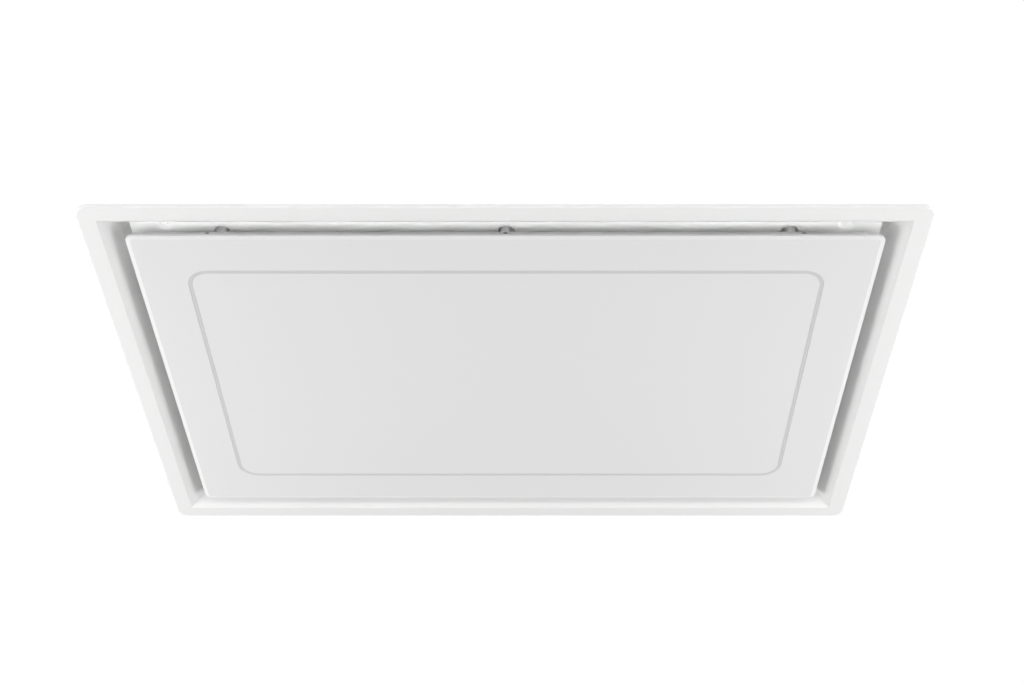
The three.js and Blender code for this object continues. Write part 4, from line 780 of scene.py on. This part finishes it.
# %% Screws with a cross recess
def pan_screw(name, head_radius, head_height, shank_radius, shank_length):
    """A pan-head screw whose head hangs below z = 0 and whose threaded shank points up."""
    pitch = shank_radius * 0.42
    profile = [
        (head_radius * math.sin(turn), -head_height * (0.25 + 0.75 * math.cos(turn))) for turn in quarter(6)]
    profile += [(head_radius, 0), (shank_radius, 0)]
    for ring in range(int(shank_length / pitch) - 1):
        profile.append((shank_radius, ring * pitch + pitch * 0.3))
        profile.append((shank_radius * 0.84, ring * pitch + pitch * 0.8))
    profile += [(shank_radius * 0.6, shank_length), (0, shank_length)]
    screw = spun(name, profile, 32)
    slot = head_radius * 0.6
    for length, width in ((slot, slot * 0.22), (slot * 0.22, slot)):
        cut(screw, block("recess", (-length, -width, -2 * head_height), (length, width, -head_height * 0.45)))
    return shaded(screw)


DECK_SCREW_HEAD = 2.4 * MM
for corner in CORNERS:
    node = f"deck_screw_{corner}"
    low, high, middle = span(node)
    pan_screw(node + "_fine", 3.6 * MM, DECK_SCREW_HEAD, 2 * MM, high.z - low.z - DECK_SCREW_HEAD)
    dress(settle(node + "_fine", place=beside(middle, 0, 0, low.z + DECK_SCREW_HEAD)), node)

# %% [markdown]
# ## Suction panel
# The panel hangs in the recess with a gap all round. It is a thick pane, painted white on its back, and its
# lower edge has a flat bevel that shows as a second line inside its outline, lighter by a painted highlight. A
# narrow light line splits it into a border and a centre. The lens in that line has a wider foot on the panel's
# back.

# %% Panel border
BEVEL_WIDTH = 5 * MM
BEVEL_DROP = 1 * MM
PANEL_CORNER = 9 * MM
LINE_CORNER = 23 * MM
LINE_SLOT = 2.15 * MM
ARRIS = 0.35 * MM

border_low, border_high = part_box("panel_border")
centre_low, centre_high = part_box("panel_centre")
line_x, line_y = centre_high.x + LINE_SLOT, centre_high.y + LINE_SLOT
border = slab(
    "panel_border_fine", border_high.x, border_high.y, PANEL_CORNER, border_low.z + BEVEL_DROP, border_high.z)
edit(border)
pick(border, "FACE", lambda middle, normal: normal.z < -0.9)
bpy.ops.mesh.inset(thickness=BEVEL_WIDTH, use_even_offset=True)
bpy.ops.transform.translate(value=(0, 0, -BEVEL_DROP))
leave_edit()
cut(border, slab(
    "line", line_x + LINE_SLOT, line_y + LINE_SLOT, LINE_CORNER + LINE_SLOT, -THROUGH, THROUGH, steps=16))
soften(border, ARRIS, 3, 8)
dress(border, "panel_border")
# The bevel faces get the lighter white: a painted highlight where the bevel catches light.
border.data.materials.append(bevel_highlight)
edit(border)
pick(border, "FACE", lambda middle, normal: -0.995 < normal.z < -0.9)
border.active_material_index = 1
bpy.ops.object.material_slot_assign()
leave_edit()

centre = slab(
    "panel_centre_fine", centre_high.x, centre_high.y, LINE_CORNER - LINE_SLOT, centre_low.z, centre_high.z,
    steps=16)
dress(soften(centre, ARRIS, 3), "panel_centre")


# %% Light line
def line_ring(name, half_width, low, high):
    """A ring that runs along the light line."""
    outside, inside = half_width * MM, -half_width * MM
    ring = slab(name, line_x + outside, line_y + outside, LINE_CORNER + outside, low, high, steps=16)
    core = slab("core", line_x + inside, line_y + inside, LINE_CORNER + inside, low - MM, high + MM, steps=16)
    return cut(ring, core)


lens_low, lens_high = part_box("light_lens")
foot_low = border_high.z + 0.3 * MM
lens = line_ring("light_lens_fine", 2, lens_low.z + 0.15 * MM, foot_low + 0.5 * MM)
weld(lens, line_ring("foot", 5.5, foot_low, lens_high.z))
dress(soften(lens, 0.25 * MM, 2, 40), "light_lens")

channel_low, channel_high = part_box("light_channel")
channel = line_ring("light_channel_fine", 7, channel_low.z, channel_high.z)
cut(channel, line_ring("inside", 6, channel_low.z - MM, channel_high.z - MM))
dress(soften(channel, 0.3 * MM, 2, 40), "light_channel")

strip_low, strip_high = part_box("led_strip")
dress(line_ring("led_strip_fine", 4, strip_low.z, strip_high.z), "led_strip")


# %% [markdown]
# ## Posts, catches and rivets
# Three polished posts stand on the tray and run up into round white cups in the deck, where magnets hold them.
# Hollow rivets through the tray's front wall hold the rail that carries the posts.

# %% Posts and catches
def chamfered(radius, chamfer, low, high):
    """The profile of a rod with chamfered ends, in mm, between two heights."""
    foot = above(low, [(0, 0), (radius - chamfer, 0), (radius, chamfer)])
    return foot + above(high, [(radius, -chamfer), (radius - chamfer, 0), (0, 0)])


for place in PLACES:
    low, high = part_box(f"panel_post_{place}")
    turned(f"panel_post_{place}", above(low.z, [
        (0, 0), (2.6, 0), (3, 0.4), (3, 5), (8.8, 5), (9, 5.2), (9, 6.1), (8.8, 6.4), (8.4, 6.5), (6.9, 6.5),
        (6.4, 6.65), (6.1, 7), (6, 7.6),
    ]) + above(high.z, [(6, -1.1), (5.85, -0.85), (5.1, -0.1), (4.9, 0), (0, 0)]), 64, material=satin_steel)

    low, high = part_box(f"catch_cup_{place}")
    turned(f"catch_cup_{place}", above(high.z, [(0, -1.5), (8.6, -1.5), (9, -1.9)]) + above(low.z, [
        (9, 0.7), (9.12, 0.3), (9.5, 0.05), (9.9, 0), (11.1, 0), (11.4, 0.15), (11.5, 0.4), (11.5, 0.8),
        (10.5, 0.8),
    ]) + above(high.z, [(10.5, -0.8), (10.2, -0.2), (9.7, 0), (0, 0)]), 64)

    low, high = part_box(f"catch_magnet_{place}")
    turned(f"catch_magnet_{place}", chamfered(8.7, 0.4, low.z, high.z), 48)

    low, high, middle = span(f"tray_rivet_{place}")
    length = (high.y - low.y) / MM
    turned(f"tray_rivet_{place}", above(0, [
        (0, 4), (1.45, 4), (1.45, 0.25), (1.6, 0.05), (1.9, 0), (2.5, 0.15), (3, 0.5), (3.2, 0.85), (3.2, 1),
        (1.8, 1), (1.8, 5.6), (1.5, length), (0, length),
    ]), 40, (middle.x, low.y, middle.z), TOWARD["rear"])

# %% Hinge pins
for side in SIDES:
    low, high, middle = span(f"hinge_pin_{side}")
    half = (high.x - low.x) / 2
    turned(f"hinge_pin_{side}", above(-half, [
        (0, 0), (3, 0), (3.5, 0.4), (3.5, 1), (2.5, 1),
    ]) + above(half, [
        (2.5, -1), (3.5, -1), (3.5, -0.4), (3, 0), (0, 0),
    ]), 40, middle, TOWARD["right"])

# %% [markdown]
# ## Grease filters
# Each filter is a frame round layers of expanded aluminium. A square grid on its corner is squeezed into
# diamonds and cut to the window, and a Wireframe modifier turns its lines into strands.

# %% Expanded metal
LATTICE_LAYERS = (
    (12 * MM, 6 * MM, 0.8 * MM, 0.0), (12 * MM, 6 * MM, 2.6 * MM, 3.1 * MM),
    (6.5 * MM, 12 * MM, 4.6 * MM, 1.4 * MM))  # width and height of a cell, height of the layer, shift
STRAND = 0.75 * MM


def lattice(low, high, cell_x, cell_y, z, shift):
    """Diamonds of one size that fill a rectangle."""
    count = 2 * (int(((high.x - low.x) / cell_x + (high.y - low.y) / cell_y) / 2) + 2)
    bpy.ops.mesh.primitive_grid_add(x_subdivisions=count, y_subdivisions=count, size=count / math.sqrt(2))
    settle("layer", turn=(0, 0, math.pi / 4))
    middle = (low + high) / 2
    layer = settle("layer", scale=(cell_x, cell_y, 1), place=(middle.x + shift, middle.y, z))
    edit(layer)
    for point, normal in ((low, (-1, 0, 0)), (high, (1, 0, 0)), (low, (0, -1, 0)), (high, (0, 1, 0))):
        select_all()
        bpy.ops.mesh.bisect(plane_co=point, plane_no=normal, clear_outer=True)
    leave_edit()
    shape_with(layer, "WIREFRAME", thickness=STRAND, use_replace=True, use_even_offset=False)
    return layer


for side in SIDES:
    node = f"filter_mesh_{side}"
    low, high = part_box(node)
    margin = Vector((MM, MM, 0))
    dress(joined(node + "_fine", [
        lattice(low + margin, high - margin, cell_x, cell_y, low.z + rise, shift)
        for cell_x, cell_y, rise, shift in LATTICE_LAYERS]), node)

# %% Filter trimmings
RIVET_HEAD = above(0, [(0, -0.9), (1, -0.8), (2, -0.45), (2.4, 0), (2.4, 0.4), (0, 0.4)])
for side in SIDES:
    low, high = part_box(f"filter_frame_{side}")
    added(f"filter_rivets_{side}", [
        spun("rivet", RIVET_HEAD, 24, place=(x, low.y + y * MM, low.z))
        for x in (low.x + 7 * MM, high.x - 7 * MM) for y in (15, 369)], f"filter_frame_{side}", aluminium)

    low, high, middle = span(f"filter_latch_{side}")
    added(f"filter_latch_ribs_{side}", [
        rod("rib", 0.55 * MM, -11 * MM, 11 * MM, 16, (middle.x, high.y - reach * MM, low.z), TOWARD["right"])
        for reach in (1.6, 3.2, 4.8, 6.4)], f"filter_latch_{side}")

# %% [markdown]
# ## Housing and cover
# Long beads, pressed outward, stiffen the thin sheet. The shell's corners are riveted, the cover is screwed on
# through its skirt, and the hanging brackets are bolted down.

# %% Small repeated parts
BEAD_WIDTH = 14 * MM


def swage(length, height, place, turn=(0, 0, 0)):
    """A long bead with round ends and sloping sides, raised from a sheet that lies at z = 0."""
    bead = slab("swage", length * MM / 2, BEAD_WIDTH / 2, BEAD_WIDTH * 0.49, -0.2 * MM, height, steps=6)
    edit(bead)
    pick(bead, "EDGE", lambda middle, edge: near(middle.z, height))
    bpy.ops.mesh.bevel(offset=height * 0.95, segments=3, affect="EDGES")
    leave_edit()
    return settle("swage", turn=turn, place=place)


def dome(radius, height, place, turn):
    """A domed rivet head on a sheet that lies at z = 0."""
    profile = [(radius * math.sin(angle), height * math.cos(angle)) for angle in quarter(5)]
    return spun("dome", profile + [(radius, -0.3 * MM), (0, -0.3 * MM)], 24, place, turn)


def hex_bolt(radius, height, place):
    """A six-sided bolt head on a washer, on a sheet that lies at z = 0."""
    washer = soften(rod("washer", radius * 1.35, -0.1 * MM, 1.2 * MM, 32), 0.25 * MM, 2, 40)
    head = soften(rod("head", radius, 1.2 * MM, 1.2 * MM + height, 6), 0.5 * MM, 2, 40)
    joined("bolt", [washer, head])
    return settle("bolt", place=place)


# %% Beads and rivets of the shell
SHELL_BEAD = 2.4 * MM
ALONG_LEFT = (math.pi / 2, 0, -math.pi / 2)
ALONG_RIGHT = (math.pi / 2, 0, math.pi / 2)
shell_low, shell_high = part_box("housing_shell")
face_y = {"front": shell_low.y, "rear": shell_high.y}
beads = []
for z in (88 * MM, 150 * MM):
    beads += [swage(700, SHELL_BEAD, (0, face_y[end], z), TOWARD[end]) for end in ENDS]
    beads.append(swage(420, SHELL_BEAD, (shell_low.x, 0, z), ALONG_LEFT))
    beads.append(swage(210, SHELL_BEAD, (shell_high.x, 105 * MM, z), ALONG_RIGHT))
added("housing_beads", beads, "housing_shell")
added("housing_rivets", [
    dome(3.2 * MM, 1.3 * MM, (x * MM, face_y[end], z * MM), TOWARD[end])
    for end in ENDS for x in (-402, 402) for z in (56, 92, 128, 164, 192)], "housing_shell", aluminium)

# %% Beads and screws of the cover
cover_low, cover_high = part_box("housing_cover")
added("cover_beads", [
    swage(560, 2 * MM, (0, y * MM, cover_high.z)) for y in (-205, -150, 190)], "housing_cover")

skirt_z = cover_low.z + 4.5 * MM
screw_sites = []
for x in (-330, -110, 110, 330):
    screw_sites.append(((x * MM, cover_low.y, skirt_z), TOWARD["rear"]))
    screw_sites.append(((x * MM, cover_high.y, skirt_z), TOWARD["front"]))
for y in (-190, 0, 190):
    screw_sites.append(((cover_low.x, y * MM, skirt_z), TOWARD["right"]))
    screw_sites.append(((cover_high.x, y * MM, skirt_z), TOWARD["left"]))
for place in ("front", "rear", "left"):
    middle = span(f"rubber_mount_{place}")[2]
    screw_sites.append((beside(middle, 0, 0, cover_high.z), TOWARD["down"]))
pattern = pan_screw("pattern", 3.6 * MM, 2.2 * MM, 1.8 * MM, 6 * MM)


def screws(name, sites, node, kind=pattern):
    """Copies of a pattern screw at places with turns that point the shank into the sheet."""
    heads = [copied(kind, "screw", move=site, turn=turn) for site, turn in sites]
    return added(name, heads, node, polished_steel)


screws("cover_screws", screw_sites, "housing_cover")

# %% Bolts of the hanging brackets
BOLT_X = 350 * MM
for corner in CORNERS:
    low, high, middle = span(f"hanger_{corner}")
    x = math.copysign(BOLT_X, middle.x)
    added(f"hanger_bolts_{corner}", [
        hex_bolt(5.6 * MM, 4 * MM, (x, middle.y + y * MM, low.z + 2.5 * MM)) for y in (-18, 18)],
        f"hanger_{corner}", polished_steel)

# %% Screws of the hinge feet
for side in SIDES:
    low, high, middle = span(f"hinge_arm_{side}")
    sites = [(beside(middle, x, 0, high.z - 2 * MM), TOWARD["up"]) for x in (-11, 11)]
    screws(f"hinge_screws_{side}", sites, f"hinge_arm_{side}")

# %% [markdown]
# ## Blower
# The scroll is sheet, the wheel and the inlet are moulded. The inlet is a smooth bell mouth, and the motor's
# can gets the fins and rounded shoulder of a cast one.


# %% Inlet, motor and mounts
def bell(throat, run, depth):
    """A quarter of a bell mouth's wall in mm: its throat, how far it opens and how deep it is."""
    return [
        (throat + run - run * math.cos(angle), -1.5 - depth * math.sin(angle) ** 1.5) for angle in quarter(10)]


inlet_low, inlet_high, inlet_middle = span("inlet_ring")
flange_top = inlet_low.z + 16 * MM
turned("inlet_ring", (
    above(inlet_high.z, [(80, -0.5)])
    + above(flange_top, [(80, 1), *bell(80, 18, 14.2)])
    + above(inlet_low.z, [(98.8, 0), (99.5, 0.6)])
    + above(flange_top, [*reversed(bell(83, 16.5, 12.6)), (107.5, -1.5), (108, -1.1), (108, 0), (81.5, 0)])
    + above(inlet_high.z, [(81.5, -0.5), (80.8, 0), (80, -0.5)])), 96)


def on_circle(radius, count):
    """Points on a circle in mm, half a step from its start."""
    angles = [(step + 0.5) / count * math.tau for step in range(count)]
    return [(radius * math.cos(angle), radius * math.sin(angle)) for angle in angles]


screws("inlet_screws", [
    (beside(inlet_middle, x, y, flange_top - 1.5 * MM), TOWARD["up"]) for x, y in on_circle(103.6, 6)],
    "inlet_ring")

motor_low, motor_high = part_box("motor_can")
shoulder = [(42 + 6 * math.sin(angle), 6.5 - 6 * math.cos(angle)) for angle in quarter(5)[1:]]
fins = []
for z in range(12, 60, 6):
    fins += [(48, z), (46.8, z + 0.6), (46.8, z + 2.4), (48, z + 3)]
turned("motor_can", (
    above(motor_low.z, [(4.1, 0), (14, 0), (14.5, 0.5), (40, 0.5), *shoulder, *fins])
    + above(motor_high.z, [
        (48, -2), (61.5, -2), (62, -1.6), (62, -0.4), (61.5, 0), (16, 0), (15, -0.8), (4.1, -0.8)])
    + above(motor_low.z, [(4.1, 0)])), 72)

for place in ("front", "rear", "left"):
    low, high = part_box(f"rubber_mount_{place}")
    profile = [(0, low.z)]
    for step in range(13):
        share = step / 12
        waist = 8.9 - 2.6 * math.sin(share * math.pi) ** 1.3
        edge = 0.5 if step in (0, 12) else 0
        profile.append(((waist - edge) * MM, low.z + (high.z - low.z) * share))
    turned(f"rubber_mount_{place}", profile + [(0, high.z)], 40)

low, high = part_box("motor_shaft")
turned("motor_shaft", chamfered(4, 0.5, low.z, high.z), 40)

# %% [markdown]
# ## Air outlet
# The spigot is a moulded tube with a screwed flange, a bead that keeps the duct's clamp from slipping, and a
# chamfered mouth. The two damper flaps hang on an upright pin inside it.

# %% Spigot and pin
spigot_low, spigot_high, spigot_middle = span("outlet_spigot")
pin_low, pin_high, pin_middle = span("damper_pin")
flange_x = shell_high.x + 0.3 * MM
stop_x = pin_middle.x - 0.9 * MM
spigot = spun("outlet_spigot_fine", (
    above(spigot_low.x, [(73.5, 0.5), (74, 0), (74.6, 0), (75, 0.5)])
    + above(flange_x, [
        (75, 0), (79.6, 0), (80, 0.4), (80, 1.1), (79.6, 1.5), (76, 1.5), (75.3, 1.8), (75, 2.5)])
    + above(spigot_high.x, [
        (75, -11), (75.9, -10.2), (76.3, -9), (75.9, -7.8), (75, -7), (75, -2), (74.4, 0), (73.9, 0),
        (73.5, -0.5)])
    + above(stop_x, [
        (73.5, 0.4), (73.1, 0), (70.3, 0), (70, -0.3), (70, -1.7), (70.3, -2), (73.1, -2), (73.5, -2.4)])
    + above(spigot_low.x, [(73.5, 0.5)])
), 96, (0, *spigot_middle.yz), TOWARD["right"])
cut(spigot, rod("pin_hole", 2.1 * MM, -THROUGH, THROUGH, place=(pin_middle.x, *spigot_middle.yz)))
dress(shaded(spigot), "outlet_spigot")

small = pan_screw("pattern", 1.9 * MM, 1.3 * MM, 1.1 * MM, 4 * MM)
screws("spigot_screws", [
    ((flange_x + 1.5 * MM, spigot_middle.y + y * MM, spigot_middle.z + z * MM), TOWARD["left"])
    for y, z in on_circle(77.9, 4)], "outlet_spigot", small)

turned("damper_pin", chamfered(2, 0.4, pin_low.z, pin_high.z), 32)

# %% [markdown]
# ## Control box
# A zinc-coated box with a vented lid holds the board. The board's parts are separate pieces with their own
# finishes: a capacitor in a sleeve, a lamp driver, a relay, a row of terminals and a few resistors.

# %% Lid
_, lid_high, lid_middle = span("control_lid")
lid = fine["control_lid"]
cut(lid, joined("slots", [
    slab("slot", 1.4 * MM, 13 * MM, 1.35 * MM, lid_high.z - 4 * MM, lid_high.z + MM,
         middle=beside(lid_middle, x, y, 0).xy, steps=4)
    for x in range(-66, 67, 12) for y in (-28, 28)]))
shaded(lid)
screws("lid_screws", [
    (beside(lid_middle, x, y, lid_high.z), TOWARD["down"]) for x in (-88, 88) for y in (-52, 52)],
    "control_lid")

# %% Board
BOARD_SHEET = 1.6 * MM
board_low, board_high, board_middle = span("control_board")
board_top = board_low.z + BOARD_SHEET
board = block("control_board_fine", board_low, (board_high.x, board_high.y, board_top))
dress(soften(board, 0.3 * MM, 2), "control_board")


def board_part(name, x, y, half_x, half_y, height, material):
    """A block soldered to the board, at a place from the board's middle."""
    piece = block(
        name, beside(board_middle, x - half_x, y - half_y, board_top - 0.3 * MM),
        beside(board_middle, x + half_x, y + half_y, board_top + height * MM))
    return dress(soften(piece, 0.6 * MM, 3), "control_board", material, hide=False)


board_part("lamp_driver", -28, 22, 38, 17, 17, white_plastic)
board_part("relay", 52, 26, 12, 9, 15, black_plastic)
board_part("terminal_row", -68, -30, 9, 22, 12, grey_plastic)
capacitor = spun("capacitor", above(0, [
    (0, -26), (7.6, -26), (8.6, -25.4), (9, -24.4), (9, 22), (8.5, 22.8), (8.5, 23.6), (9, 24.4),
    (8.6, 25.6), (7.6, 26), (0, 26),
]), 40, beside(board_middle, 30, -32, board_high.z - 9 * MM), TOWARD["right"])
dress(shaded(capacitor), "control_board", black_plastic, hide=False)
RESISTORS = ((4, -8, 10), (4, -14, 10), (20, 6, 8), (28, 6, 8), (66, -6, 12), (-40, -8, 9), (-40, -16, 9))
added("resistors", [
    spun("resistor", above(0, [
        (0, -length / 2), (1.3, -length / 2), (1.3, -length / 4), (1, -length / 5),
        (1, length / 5), (1.3, length / 4), (1.3, length / 2), (0, length / 2),
    ]), 20, beside(board_middle, x, y, board_top + 1.3 * MM), TOWARD["right"])
    for x, y, length in RESISTORS], "control_board", opal)
screws("terminal_screws", [
    (beside(board_middle, -68, y, board_top + 12 * MM), TOWARD["down"]) for y in (-46, -38, -30, -22, -14)],
    "control_board", small)

# %% Mains gland
gland_middle = span("mains_gland")[2]
wall_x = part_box("control_box")[0].x
cap = spun("cap", above(0, [
    (4.5, -5), (7.6, -5), (8, -4.6), (8, 6), (10.1, 6), (10.5, 6.5), (10.5, 15.5), (10.2, 17.2), (9.2, 20.2),
    (7.9, 23), (7, 24), (5.2, 24), (4.5, 23.3), (4.5, -5),
]), 64)
collar = soften(rod("collar", 13 * MM, 0.3 * MM, 6.3 * MM, 6), 0.6 * MM, 2)
cut(collar, rod("bore", 7 * MM, -THROUGH, THROUGH))
ribs = []
for step in range(16):
    block("rib", (10.1 * MM, -0.5 * MM, 7.5 * MM), (11 * MM, 0.5 * MM, 15.5 * MM))
    ribs.append(settle("rib", turn=(0, 0, step / 16 * math.tau)))
joined("mains_gland_fine", [cap, collar, *ribs])
gland = settle("mains_gland_fine", turn=TOWARD["left"], place=(wall_x, *gland_middle.yz))
dress(shaded(gland), "mains_gland")

for spare in (pattern, small):
    bpy.data.objects.remove(spare)


# %% What the lip and gap lights reach
def limit(lights, name, starts):
    """Lets lights reach only the pieces whose names start so."""
    reached = bpy.data.collections.new(name)
    for piece in bpy.context.scene.objects:
        if piece.name.startswith(starts):
            reached.objects.link(piece)
    for light in lights:
        light.light_linking.receiver_collection = reached


limit([lip_light], "trim_pieces", ("trim_frame",))
limit(gap_lights, "gap_pieces", ("deck_", "panel_tray", "panel_post", "catch_cup", "tray_rivet"))
